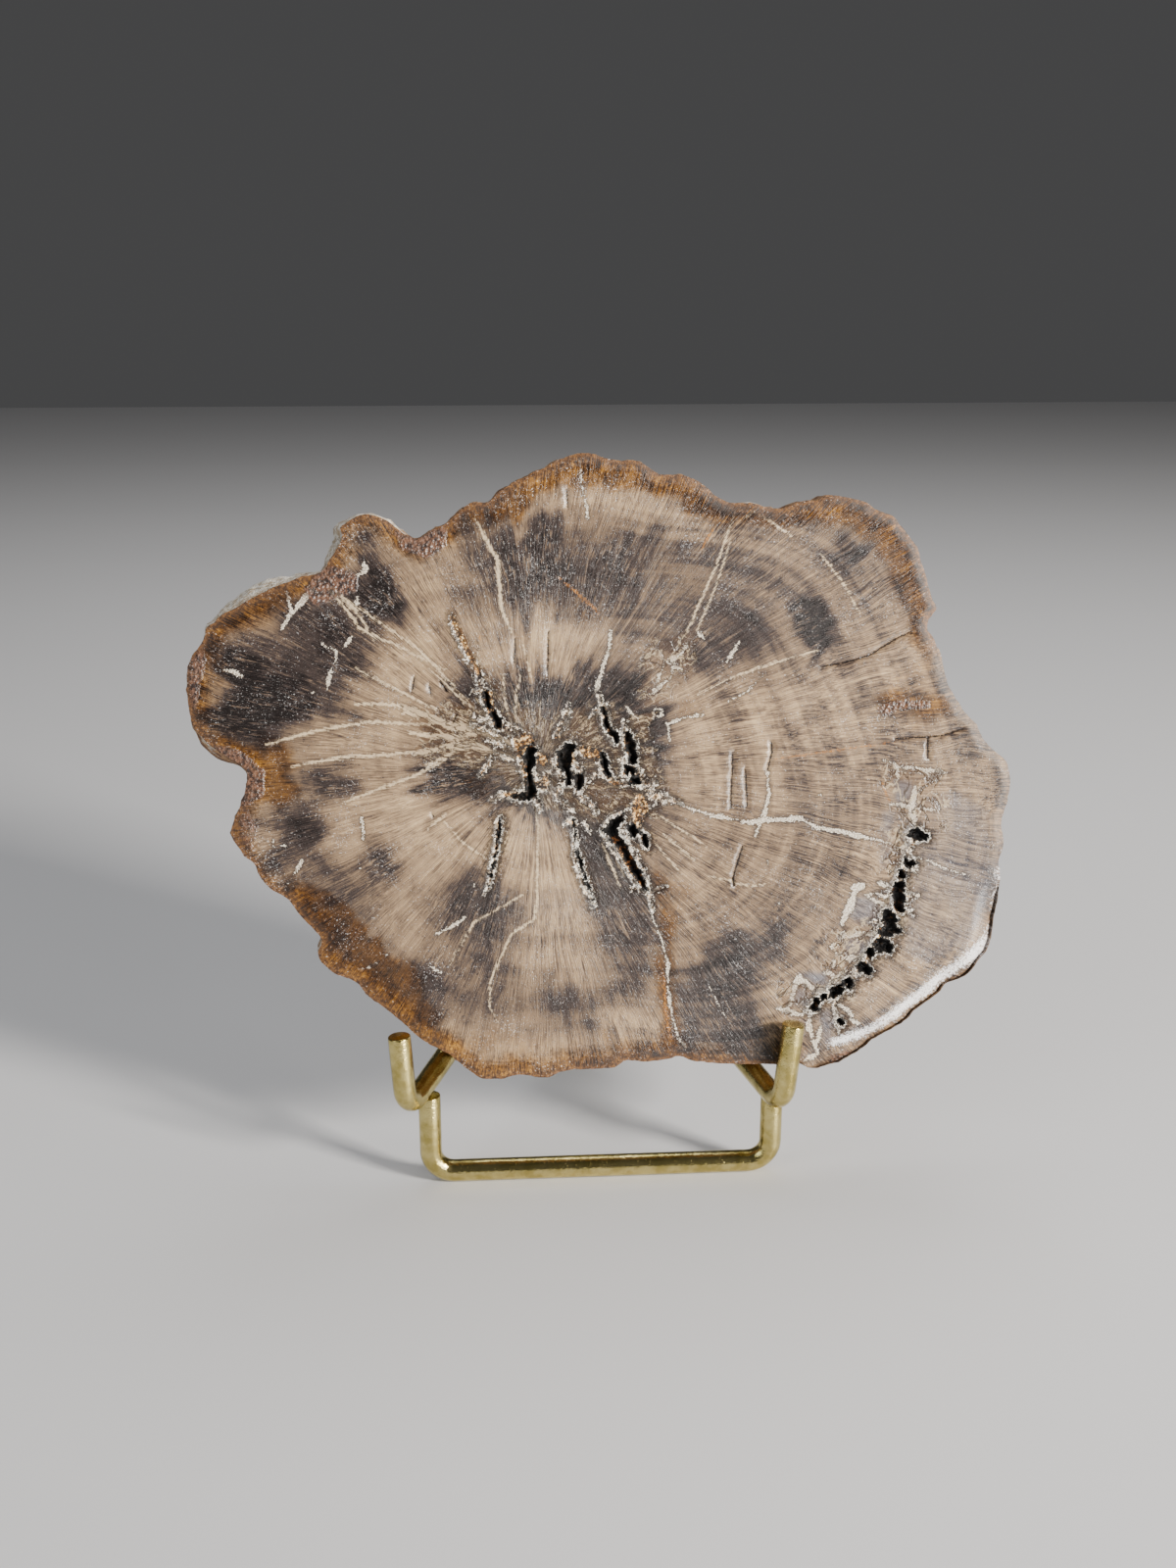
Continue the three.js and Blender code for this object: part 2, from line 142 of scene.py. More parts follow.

# %% [markdown]
# ## The outline of the slice
# The rim was read against a grid of five-millimetre squares, about every two and a half millimetres, from
# the left end over the top and back along the foot. A curve rounds it again.

# %% Outline
OUTLINE = [
    (-80.3, 82.9), (-80, 86.5), (-78.8, 89.1), (-76.8, 91.8), (-76.2, 94.1), (-74.7, 95.3), (-72.6, 97.1),
    (-70, 98.2), (-67.4, 99.9), (-64.7, 101.2), (-62.4, 102.2), (-59.7, 103.2), (-57.1, 104.1),
    (-54.7, 104.4), (-52.9, 105.6), (-51.8, 107.4), (-50.9, 108.8), (-50, 110), (-49.5, 111.8),
    (-49.9, 113.2), (-48.5, 114.4), (-46.8, 115.4), (-44.7, 116), (-42.6, 115.6), (-40.6, 114.8),
    (-38.8, 113.5), (-37.1, 112.1), (-35, 111.1), (-33.2, 111.8), (-31.5, 113.1), (-29.7, 113.6),
    (-27.6, 115.3), (-25.3, 117.4), (-22.6, 118.1), (-20.6, 118.1), (-19.1, 119.7), (-17.4, 120.9),
    (-15.3, 122.2), (-12.9, 123.1), (-11.8, 124), (-9.7, 124.6), (-8.2, 125.6), (-5.9, 126.6),
    (-2.9, 127.4), (0, 127.4), (2.1, 126.6), (4.7, 126), (7.6, 126.1), (10, 125.3), (12.4, 123.6),
    (15, 123.1), (17.6, 123.1), (20.3, 122.1), (22.4, 120.7), (24.1, 119.1), (26.5, 117.8), (29.7, 117.4),
    (31.5, 117.5), (34.5, 116.6), (37.4, 116.4), (39.8, 117.2), (42.1, 117.8), (44.5, 117.9), (45.9, 118.7),
    (48.6, 118.7), (51.5, 118.2), (54.5, 117.2), (56.5, 115.9), (59.8, 114.6), (61.5, 112.4), (63.3, 110.3),
    (64.8, 107.9), (65.5, 105.3), (66.5, 102.6), (67.1, 100), (68, 97.6), (68.7, 96.2), (68, 95),
    (66.9, 93.5), (66.7, 92.1), (68, 90), (69.5, 86.8), (70.1, 83.8), (71.2, 80.3), (73, 77.4),
    (74.8, 74.7), (76.8, 72.6), (78, 70), (79.8, 67.9), (81.5, 66.5), (83, 64.7), (83.6, 62), (83.5, 59.2),
    (82.4, 54.8), (81.8, 52.1), (82.3, 49.2), (81.8, 46.5), (81.2, 44.8), (81.6, 42.7), (81.4, 39.2),
    (80.9, 36.2), (80.2, 32.7), (79.8, 29.2), (78.7, 26.5), (76.8, 24.2), (74.8, 21.8), (72.1, 20.6),
    (70.1, 19.8), (68.6, 18), (66.2, 16.2), (63.9, 14.8), (62.4, 13), (60.1, 11.5), (57.4, 10.1),
    (55.1, 8.9), (53.3, 7.4), (51.5, 6.2), (49.8, 5.4), (48, 4.4), (45.6, 3.9), (43.6, 3.4), (41.5, 3.6),
    (40.2, 4.8), (38, 5.2), (35.6, 4.4), (33, 4.5), (30.4, 4.6), (25.3, 4.8), (21.2, 5.2), (18.8, 5.5),
    (17.1, 6.1), (15.6, 6.7), (13.5, 6.2), (10.6, 5.8), (7.6, 5.9), (5.3, 6.2), (3.8, 5.5), (2.4, 4.8),
    (-0.6, 4.6), (-5.3, 4.6), (-8.2, 4.2), (-10.6, 3.2), (-12.9, 3.2), (-15.3, 3.8), (-17.6, 3.8),
    (-20, 3.2), (-24.1, 3.3), (-25.6, 4.2), (-27.1, 5.3), (-29.1, 7.1), (-30.9, 8.6), (-32.9, 9.8),
    (-35, 10.9), (-37.4, 12.7), (-38.5, 13.9), (-40.9, 16.2), (-43.8, 18.6), (-46.8, 20.9), (-48.5, 23.3),
    (-50.9, 24.5), (-52.6, 25.1), (-54.4, 26.5), (-55.9, 28.3), (-56.3, 29.8), (-55.6, 31.5), (-55.6, 32.7),
    (-56.5, 33.9), (-57.9, 35.4), (-59.7, 37.4), (-60.9, 39.2), (-62.4, 40.9), (-65, 42.4), (-66.2, 43.9),
    (-67.4, 45.6), (-68.2, 47.7), (-70, 49.1), (-71.2, 50.9), (-72.4, 53), (-72.5, 54.8), (-71.8, 56.8),
    (-70.9, 58.6), (-70.3, 60.1), (-69.7, 62.1), (-69.1, 65), (-69.4, 66.5), (-70.9, 67.6), (-72.9, 68.8),
    (-74.7, 70), (-76.8, 71.8), (-78.2, 73.5), (-79.4, 75.3), (-79.8, 77.1), (-80.1, 79.4),
]


RIM_SPACING = 0.75
RIM_SETBACK = 0.25


def evenly(points, spacing, closed):
    """Points at even spacing along a line."""
    line = np.vstack([points, points[:1]]) if closed else np.asarray(points, float)
    run = np.concatenate([[0], np.cumsum(np.hypot(*np.diff(line, axis=0).T))])
    count = max(2, int(round(run[-1] / spacing)))
    at = np.linspace(0, run[-1], count, endpoint=not closed)
    return np.stack([np.interp(at, run, line[:, i]) for i in range(line.shape[1])], axis=1)


def rounded(points, spacing):
    """A closed curve through the points, at even spacing."""
    p = np.array(points, float)
    before, after, later = np.roll(p, 1, 0), np.roll(p, -1, 0), np.roll(p, -2, 0)
    t = np.linspace(0, 1, 8, endpoint=False)[:, None, None]
    curve = 0.5 * (2 * p + (after - before) * t + (2 * before - 5 * p + 4 * after - later) * t ** 2
                   + (3 * p - before - 3 * after + later) * t ** 3)
    return evenly(curve.transpose(1, 0, 2).reshape(-1, 2), spacing, True)


def bumpiness(points, scale, seed):
    """Smooth noise from -1 to 1 at each point."""
    return np.array([noise.noise(Vector((p[0] / scale, p[1] / scale, seed))) for p in points])


def outward(line):
    """Unit normals of a closed line that runs clockwise."""
    along = np.roll(line, -2, 0) - np.roll(line, 2, 0)
    normal = np.stack([-along[:, 1], along[:, 0]], axis=1)
    return normal / np.hypot(*normal.T)[:, None]


rim = rounded(OUTLINE, RIM_SPACING)
rim_out = outward(rim)
chips = 0.16 * bumpiness(rim, 1.6, 3.0) + 0.1 * bumpiness(rim, 0.8, 8.0)
rim = rim + rim_out * (chips - RIM_SETBACK)[:, None]
rim_out = outward(rim)
print("rim points:", len(rim), "width and height", np.ptp(rim, axis=0).round(1))

# %% [markdown]
# ## Open hollows
# Where the wood decayed before it turned to stone, the slice has open pockets: round the pith, along
# the cracks that run out from it and along the curved row of pits on the right. Each is drawn as the
# outline of its opening.

# %% Hollows
HOLLOWS = [
    [(-14.2, 69), (-13.6, 69.8), (-12.5, 69.9), (-12.1, 69.2), (-12.7, 68.3), (-12.4, 66.9), (-12.8, 65.8),
     (-13.3, 65), (-13.1, 63.4), (-12.6, 62), (-12.4, 60.4), (-13.6, 59.5), (-15.2, 59.3), (-17, 59.7),
     (-16.2, 60.3), (-14.8, 60.6), (-14.2, 61.4), (-14, 63), (-14.1, 64.6), (-14.4, 66.2), (-14.5, 67.8)],
    [(-7.9, 68.6), (-6.9, 69.4), (-6.2, 70.2), (-5, 70.1), (-4.6, 69.2), (-5.3, 68.2), (-5.2, 66.8),
     (-5.7, 65.4), (-5.3, 63.8), (-5.4, 62.2), (-6.2, 61.9), (-6.3, 63.6), (-6.6, 65), (-7.5, 65.8),
     (-7.9, 67.2)],
    [(-4.4, 64.2), (-3.6, 64.4), (-3, 63.2), (-3.2, 61.8), (-3.9, 61.4), (-4.3, 62.6)],
    [(1.1, 77.6), (1.6, 76.6), (1.9, 75), (2.4, 73.6), (3.2, 72.6), (4.2, 71.9), (4, 70.4), (3.3, 70.5),
     (3, 71.6), (2.2, 72.4), (1.6, 74.2), (1.3, 76)],
    [(0.9, 68.2), (1.7, 67), (1.9, 65.2), (2.4, 64), (1.7, 63.9), (1.1, 65.4), (1, 66.8)],
    [(5.8, 72.4), (6.6, 71.8), (6.9, 70.6), (7.6, 70.2), (7.5, 68.6), (7.9, 67.2), (7.5, 66), (6.5, 66.3),
     (6.4, 67.8), (6.1, 69.2), (5.6, 70.8)],
    [(5.3, 65.8), (6.6, 65.6), (7.3, 64.6), (6.4, 64.1), (5.5, 64.6)],
    [(6.5, 63.5), (7.4, 63.2), (8.3, 63.6), (8.4, 62.4), (7.4, 61.8), (6.5, 62.3)],
    [(4.6, 56.3), (3, 55.7), (1.7, 54.8), (0.9, 53.2), (1.5, 51.4), (3, 49.6), (4.2, 48), (5.2, 45.9),
     (6.4, 43.8), (8.2, 41.2), (9.8, 40.4), (9.6, 42), (8.6, 44.6), (7.2, 47), (6, 49.6), (4.9, 51.4),
     (4, 52.4), (4.2, 53.6), (5.4, 54.4), (5.4, 55.7)],
    [(6, 53.5), (7.1, 53.6), (7.6, 52.4), (6.9, 51.5), (6.1, 52.3)],
    [(8.8, 52.4), (9.4, 51.8), (9.8, 50), (9.2, 49.6), (8.7, 51)],
    [(-5.2, 55), (-4.8, 50), (-4.6, 47), (-3.2, 43), (-1.6, 40), (-1.1, 38.4), (-1.6, 41.5), (-2.6, 44.8),
     (-3.4, 48), (-4.2, 51), (-4.6, 54.8)],
    [(-19.8, 56), (-20.4, 53), (-20.8, 50.5), (-21.6, 46), (-22.4, 42), (-21.4, 43.5), (-20.4, 47),
     (-19.6, 50.6), (-19, 53.5), (-19.2, 55.8)],
    [(-20.7, 76.8), (-20, 77.1), (-19.4, 75.6), (-19.1, 73.8), (-19.9, 73.4), (-20.3, 75)],
    [(-22.4, 80.6), (-21.7, 80.8), (-21.4, 79), (-20.9, 77.6), (-21.5, 77.4), (-22, 79)],
    [(62.1, 50.4), (63.4, 51.6), (65.2, 51.2), (66.6, 50.4), (65, 49.7), (63.4, 50)],
    [(61.8, 46), (62.6, 45.2), (63.6, 45.4), (63.2, 44.2), (62, 44.4)],
    [(60.6, 43.6), (61.6, 43.4), (61.8, 42.2), (60.8, 42)],
    [(59.8, 40.7), (60.6, 41.2), (61.6, 40.6), (61.2, 39), (61.9, 37.6), (61.3, 36.4), (61.4, 35.2),
     (60.1, 35.3), (59.4, 36.6), (59.9, 38), (59.2, 39)],
    [(57.9, 35.6), (59.4, 35), (60.2, 33.6), (59.6, 32.4), (60.6, 31.2), (59.2, 30.6), (57.2, 30.4),
     (56.6, 31.8), (57.6, 32.8), (57.2, 34.2)],
    [(55.4, 29.2), (56.8, 29.7), (58.6, 29), (59.2, 27.6), (58.4, 26.7), (56.8, 27.2), (55.8, 28)],
    [(54.2, 27.4), (55.3, 27.6), (55.4, 26.4), (54.5, 25.8), (53.9, 26.6)],
    [(52, 24.6), (53.2, 25), (54.6, 23.8), (54.4, 22.6), (53, 23), (51.9, 23.7)],
    [(49.4, 21.6), (50.6, 21.9), (51.2, 20.6), (50.4, 19.6), (49.6, 20.4)],
    [(46.4, 19.6), (47.6, 20.2), (48.8, 20.4), (48.9, 19.2), (47.9, 18.2), (46.8, 18)],
    [(44.6, 18.6), (45.6, 18.8), (45.6, 17.8), (44.7, 17.6)],
    [(42.3, 15.9), (43.2, 17.6), (44, 17.4), (43.6, 16), (42.8, 15.2)],
    [(47.8, 13.6), (48.6, 13.8), (49, 12.8), (48.2, 12.2)],
]

LIP_SPACING = 0.4

lips = []
for opening in HOLLOWS:
    lip = rounded(opening, LIP_SPACING)
    spread = 0.25 + 0.5 * bumpiness(lip, 1.1, 5.0) + 0.22 * bumpiness(lip, 0.45, 9.0)
    lips.append(lip + outward(lip) * spread[:, None])
print("hollows:", len(lips), "lip points:", sum(len(lip) for lip in lips))

# %% [markdown]
# ## Veins and cracks
# Minerals filled the finer cracks: cream quartz, amber iron stains and pale rays of coarser wood. Some
# stayed open, and crystals grew along others. Each is a width and a line of points, drawn like the
# strokes of a pen.

# %% Veins
CREAM_VEINS = [
    (1.7, [(-54.4, 102.5), (-56.5, 100), (-59.5, 96.5), (-61.4, 93.8)]),
    (0.9, [(-60.3, 101.2), (-59.4, 97)]), (1.5, [(-45.1, 106.4), (-44.9, 104.5)]),
    (0.8, [(-46.7, 104), (-45.8, 104.3)]), (1.1, [(-46.6, 99.7), (-46.6, 98.4)]),
    (0.6, [(-31.2, 106.8), (-31, 106.2)]), (0.5, [(-38.1, 109.9), (-38.1, 109.4)]),
    (0.7, [(-53.5, 90.5), (-51.2, 89.4)]), (0.7, [(-47.9, 92), (-49.7, 89.7)]),
    (0.9, [(-50.9, 88.8), (-51.2, 87)]), (1, [(-52, 85.9), (-52.9, 81.7)]),
    (1.2, [(-55.4, 81.3), (-55.9, 81)]), (0.8, [(-72.9, 85.9), (-71, 85.6), (-69.4, 84.6)]),
    (0.7, [(-2.6, 126.5), (-2.4, 121.2), (-1.5, 117), (-1.2, 114.4)]), (0.8, [(2.1, 122.2), (2.1, 121.4)]),
    (0.6, [(-12.4, 122.4), (-11.9, 119.1)]), (1.2, [(2.9, 92.6), (2.6, 88.8), (1.2, 85.3), (-0.3, 80)]),
    (0.9, [(18.2, 90), (17, 87.6), (13.8, 86.2), (12.1, 82.6)]),
    (0.9, [(13.7, 86.4), (15.3, 85.3), (17, 84.6)]), (0.8, [(15.1, 83.8), (15.4, 86.8)]),
    (0.8, [(14.7, 82.9), (10.6, 79.7)]), (1.3, [(28.5, 90), (27.4, 88.2), (25.9, 85.9)]),
    (0.6, [(20.3, 91.8), (21.5, 90.6)]), (0.7, [(21, 100), (21.5, 100)]), (0.8, [(5.6, 77.6), (8.2, 74.7)]),
    (0.7, [(11.2, 75.4), (11.4, 76.9), (12.9, 76.9), (12.8, 75.5), (11.2, 75.4)]),
    (0.8, [(14.1, 73.8), (14.4, 70.3)]), (0.9, [(14.7, 74.1), (18, 75.2), (21.2, 75.6)]),
    (0.6, [(26.2, 78.2), (30, 80), (33, 82.9)]), (1.1, [(33.9, 63.9), (34.2, 59.2), (33, 55), (31.2, 51)]),
    (0.7, [(-46.8, 56.8), (-46.5, 52.1)]), (0.6, [(-64.1, 52.7), (-64.4, 49.8)]),
    (0.6, [(-62.2, 51.2), (-61.8, 51.2)]), (0.6, [(-66.4, 49), (-66, 49)]),
    (0.8, [(-58.5, 48.3), (-59.7, 46.5), (-62.4, 42.4)]), (0.6, [(-47.6, 46.4), (-47.2, 46.4)]),
    (0.6, [(-56.7, 38.3), (-56.3, 38.3)]), (0.5, [(-49.7, 26.2), (-47, 26.4), (-44.4, 27.4)]),
    (0.6, [(-42.6, 29.1), (-42.2, 29.1)]), (0.7, [(-34.4, 26.8), (-31.8, 25.1)]),
    (0.9, [(-32.6, 33), (-29.7, 34.2), (-26.8, 36.2)]), (0.6, [(-25, 42.7), (-25, 42.3)]),
    (0.6, [(-24.7, 38.8), (-24.7, 38.4)]),
    (0.6, [(-2.5, 37), (-2.2, 37.8), (-1.6, 37.6), (-1.6, 36.9), (-2.5, 37)]),
    (0.9, [(33.9, 46.2), (33.9, 45)]), (0.5, [(44.4, 59.2), (44.8, 59.2)]),
    (0.5, [(35.8, 37.4), (36.2, 37.4)]), (0.4, [(21.8, 21), (23.6, 17.6), (25, 14.5)]),
    (1.2, [(14.7, 58.3), (18.8, 56.8), (22.9, 55.4), (26.5, 54.8), (30, 53.9), (33.3, 54.2), (40.4, 54.5),
           (43.9, 52.7), (51.5, 50.9), (58.6, 49.2), (62.1, 46.8)]),
    (0.7, [(62.1, 46.8), (66.2, 45.4), (70.4, 43.6), (75, 42.2)]),
    (0.8, [(10.3, 38.6), (10.6, 35), (12.4, 30.4), (13.5, 25.6), (13.5, 21), (14.1, 15.6), (15.3, 10.9),
           (17, 8.6)]),
    (1, [(57.4, 65.9), (60, 65), (60.4, 62)]), (1, [(60, 64.5), (65, 64), (70.4, 63)]),
    (0.9, [(65, 64), (68, 61.5)]), (1, [(58.3, 57.1), (63.3, 56.2), (68, 55.6)]),
    (1.8, [(63.9, 60.4), (63.3, 55.6), (63.9, 51.5)]), (1.4, [(63, 50), (61.5, 48), (61.8, 46.2)]),
    (1.1, [(60, 45), (64.5, 42.7)]), (2.4, [(51, 40.2), (53.4, 40.5)]),
    (2.4, [(51.5, 39.4), (50.3, 36.2), (48.9, 33.2)]), (2.3, [(49.1, 31.1), (48.7, 30.1)]),
    (1.7, [(47, 28.7), (46.6, 28)]), (1.7, [(47.6, 27), (48.3, 26.8)]), (1.1, [(47.2, 25.6), (47, 24)]),
    (2.1, [(49.3, 26), (51.6, 25.8)]), (1.4, [(51.6, 25.8), (54.2, 27.2), (55.4, 28.4)]),
    (2.2, [(46, 20.6), (47.6, 22.1), (50.2, 23)]), (1.4, [(45, 23), (47.2, 22.7)]),
    (1.9, [(50.4, 30.3), (53.2, 31.1)]), (1.4, [(53.2, 31.1), (55, 30.6), (56, 31.6)]),
    (1.2, [(53.4, 38.8), (56, 37.4), (58.6, 36)]), (0.9, [(54, 39.2), (58, 38.4)]),
    (1.2, [(56.2, 41), (58.4, 40.4), (59.8, 40.8)]), (1.1, [(61.6, 39), (64.8, 38.6)]),
    (1.2, [(61, 34.8), (63.8, 35.6)]), (1.2, [(59.8, 32.4), (61, 30.6)]),
    (1.1, [(53.4, 24.6), (54.8, 23.8), (54.4, 22.2)]),
    (1.8, [(40.4, 22.4), (42, 20.6), (43.6, 19.4), (45.4, 19.6)]),
    (1.2, [(35.2, 16.2), (40.6, 14.6), (42, 16), (44, 17.4)]),
    (1.4, [(40.1, 22.7), (38.6, 18.6), (37.4, 15.6)]), (2, [(42.2, 14.4), (41.9, 12.2), (42.6, 10)]),
    (1.3, [(42.6, 10), (43.4, 7.6), (43.9, 6.6), (41, 5.4)]), (1.1, [(44.4, 12), (43.6, 8.4)]),
    (1.2, [(47, 16), (47.6, 13.6), (48.2, 10.6)]), (1.1, [(47.8, 16.6), (50, 15.4), (50.6, 14)]),
    (0.9, [(50.4, 13.4), (52.4, 12.6)]),
]
AMBER_VEINS = [
    (1.4, [(-28.5, 95.6), (-26.2, 91.8), (-24.1, 86.5), (-22.9, 84.1)]),
    (0.5, [(-22.9, 91.9), (-22.8, 91.1)]), (0.8, [(-7, 103), (-3, 99.4), (0.6, 95.9)]),
    (0.7, [(23.5, 112.4), (22.2, 110), (21.2, 108.2)]), (0.9, [(57, 75.3), (60, 76.5), (64, 77), (67, 77)]),
    (0.5, [(62.1, 73), (62.5, 73)]), (0.5, [(60.3, 78.3), (60.7, 78.3)]),
    (0.8, [(12.6, 24), (12.9, 16), (13.8, 11), (15.4, 8.4)]), (0.5, [(35.6, 66.5), (48, 68), (59.8, 69.4)]),
    (0.7, [(57.1, 61.8), (58.6, 57.4)]),
]
PALE_RAYS = [
    (1.7, [(-38, 77), (-34, 76.5), (-29, 74.5), (-24.5, 74), (-21, 72.5), (-17, 70.5)]),
    (1.5, [(-37, 73), (-34, 72.5), (-28, 72), (-23, 73), (-18.5, 70)]),
    (1.6, [(-36, 68.6), (-32, 69.6), (-28, 70.6), (-23, 70), (-19.4, 68.4), (-17, 67.5)]),
    (0.6, [(-34, 66.6), (-29, 68.8), (-25, 70.4)]), (0.6, [(-33, 78.4), (-27, 75.6), (-23, 75)]),
    (0.5, [(-33, 85.6), (-27, 79.6), (-22, 75.6)]), (0.4, [(-18.4, 84), (-18.2, 79), (-17.4, 75)]),
    (0.4, [(-15, 84), (-16.2, 79), (-16, 75)]), (0.5, [(12.8, 52), (19, 46.6)]),
    (0.4, [(11.6, 56), (22, 49)]), (0.4, [(11.4, 50), (16, 44.4)]), (0.5, [(2, 50), (5, 43.6)]),
    (0.5, [(22, 43.4), (30, 41), (34, 41.6)]), (0.5, [(-30.6, 55.4), (-27, 51), (-22.6, 48)]),
    (0.5, [(-34, 53.8), (-30, 57)]), (0.5, [(20, 79.6), (30, 84), (44, 88)]),
    (0.4, [(20, 92), (24, 101), (27, 110)]),
    (0.7, [(-54.7, 104), (-52, 101.2), (-48.5, 97), (-46.2, 93.5), (-43.8, 92.4), (-36, 88.6),
           (-29.7, 85.3)]),
    (0.6, [(-52.8, 103), (-48, 98.6), (-42.8, 95.2), (-35, 89.4), (-28, 82)]),
    (0.5, [(-50.4, 100.4), (-46, 95.8), (-43.6, 91.4)]), (0.6, [(-47.5, 86), (-38, 80.8), (-32, 77.5)]),
    (0.8, [(-65, 71.2), (-55, 73.8), (-45, 75.3), (-33, 74.6)]),
    (0.8, [(-60.3, 66.8), (-49.7, 68.5), (-40.3, 68.8), (-31, 70)]),
    (0.8, [(-50.4, 59.4), (-47.4, 60.6), (-35.6, 64.7), (-30, 67.6)]),
    (1, [(-47.4, 78.8), (-40, 78.6), (-35.6, 77.6), (-29, 73.5), (-22, 73)]),
    (1, [(-23.5, 115), (-19.1, 106.5), (-18.5, 97), (-16.5, 92.4)]),
    (0.6, [(28, 115.9), (24.7, 106.5), (21.8, 100), (18.2, 92.4), (14.7, 87)]),
    (0.5, [(-14.4, 90), (-12.9, 83.5)]), (0.5, [(0.6, 50.4), (4.1, 41.5)]),
    (0.6, [(29.5, 114.1), (31.5, 115.6), (35.1, 113.5), (39.2, 110.6)]),
    (0.5, [(45, 107), (49.2, 101.8), (52.7, 95.3)]),
    (0.6, [(-12.4, 58), (-12.1, 53.3), (-12.4, 45.6), (-12.6, 38.6), (-13.2, 35.4), (-17.6, 32.7),
           (-20, 28), (-22.1, 23.3), (-22.4, 18), (-20.9, 15)]),
    (0.5, [(-15.3, 40.4), (-25.3, 35), (-30, 26.8)]),
]
DARK_CRACKS = [
    (0.4, [(34.8, 70), (34.9, 67.6), (33.9, 64.1)]), (0.3, [(29.5, 64.7), (29.8, 57)]),
    (0.3, [(27, 68), (26.8, 62), (26.5, 56.8)]), (0.35, [(28.8, 49.2), (26.8, 42.7), (27, 41)]),
    (0.3, [(-9.4, 92.4), (-9.7, 84.1)]), (0.3, [(-5.3, 120.3), (-5.2, 116.8)]),
    (0.3, [(-15.9, 91.2), (-16.2, 86.5)]), (0.4, [(66.5, 70), (66.5, 66)]),
    (0.3, [(45, 84.7), (51.5, 85.9), (55, 87), (59.8, 90), (63.3, 91.5)]),
    (0.3, [(59.8, 70.1), (69.2, 70.5), (73.6, 71.8)]), (0.3, [(-33, 57), (-32.8, 56.4)]),
    (0.3, [(-35.8, 84), (-36.4, 81.4)]), (0.3, [(-33, 82.4), (-32.8, 80.6)]),
    (0.45, [(-27.8, 76.4), (-28.6, 74.8)]), (0.4, [(-30.8, 83), (-29.6, 81)]),
]
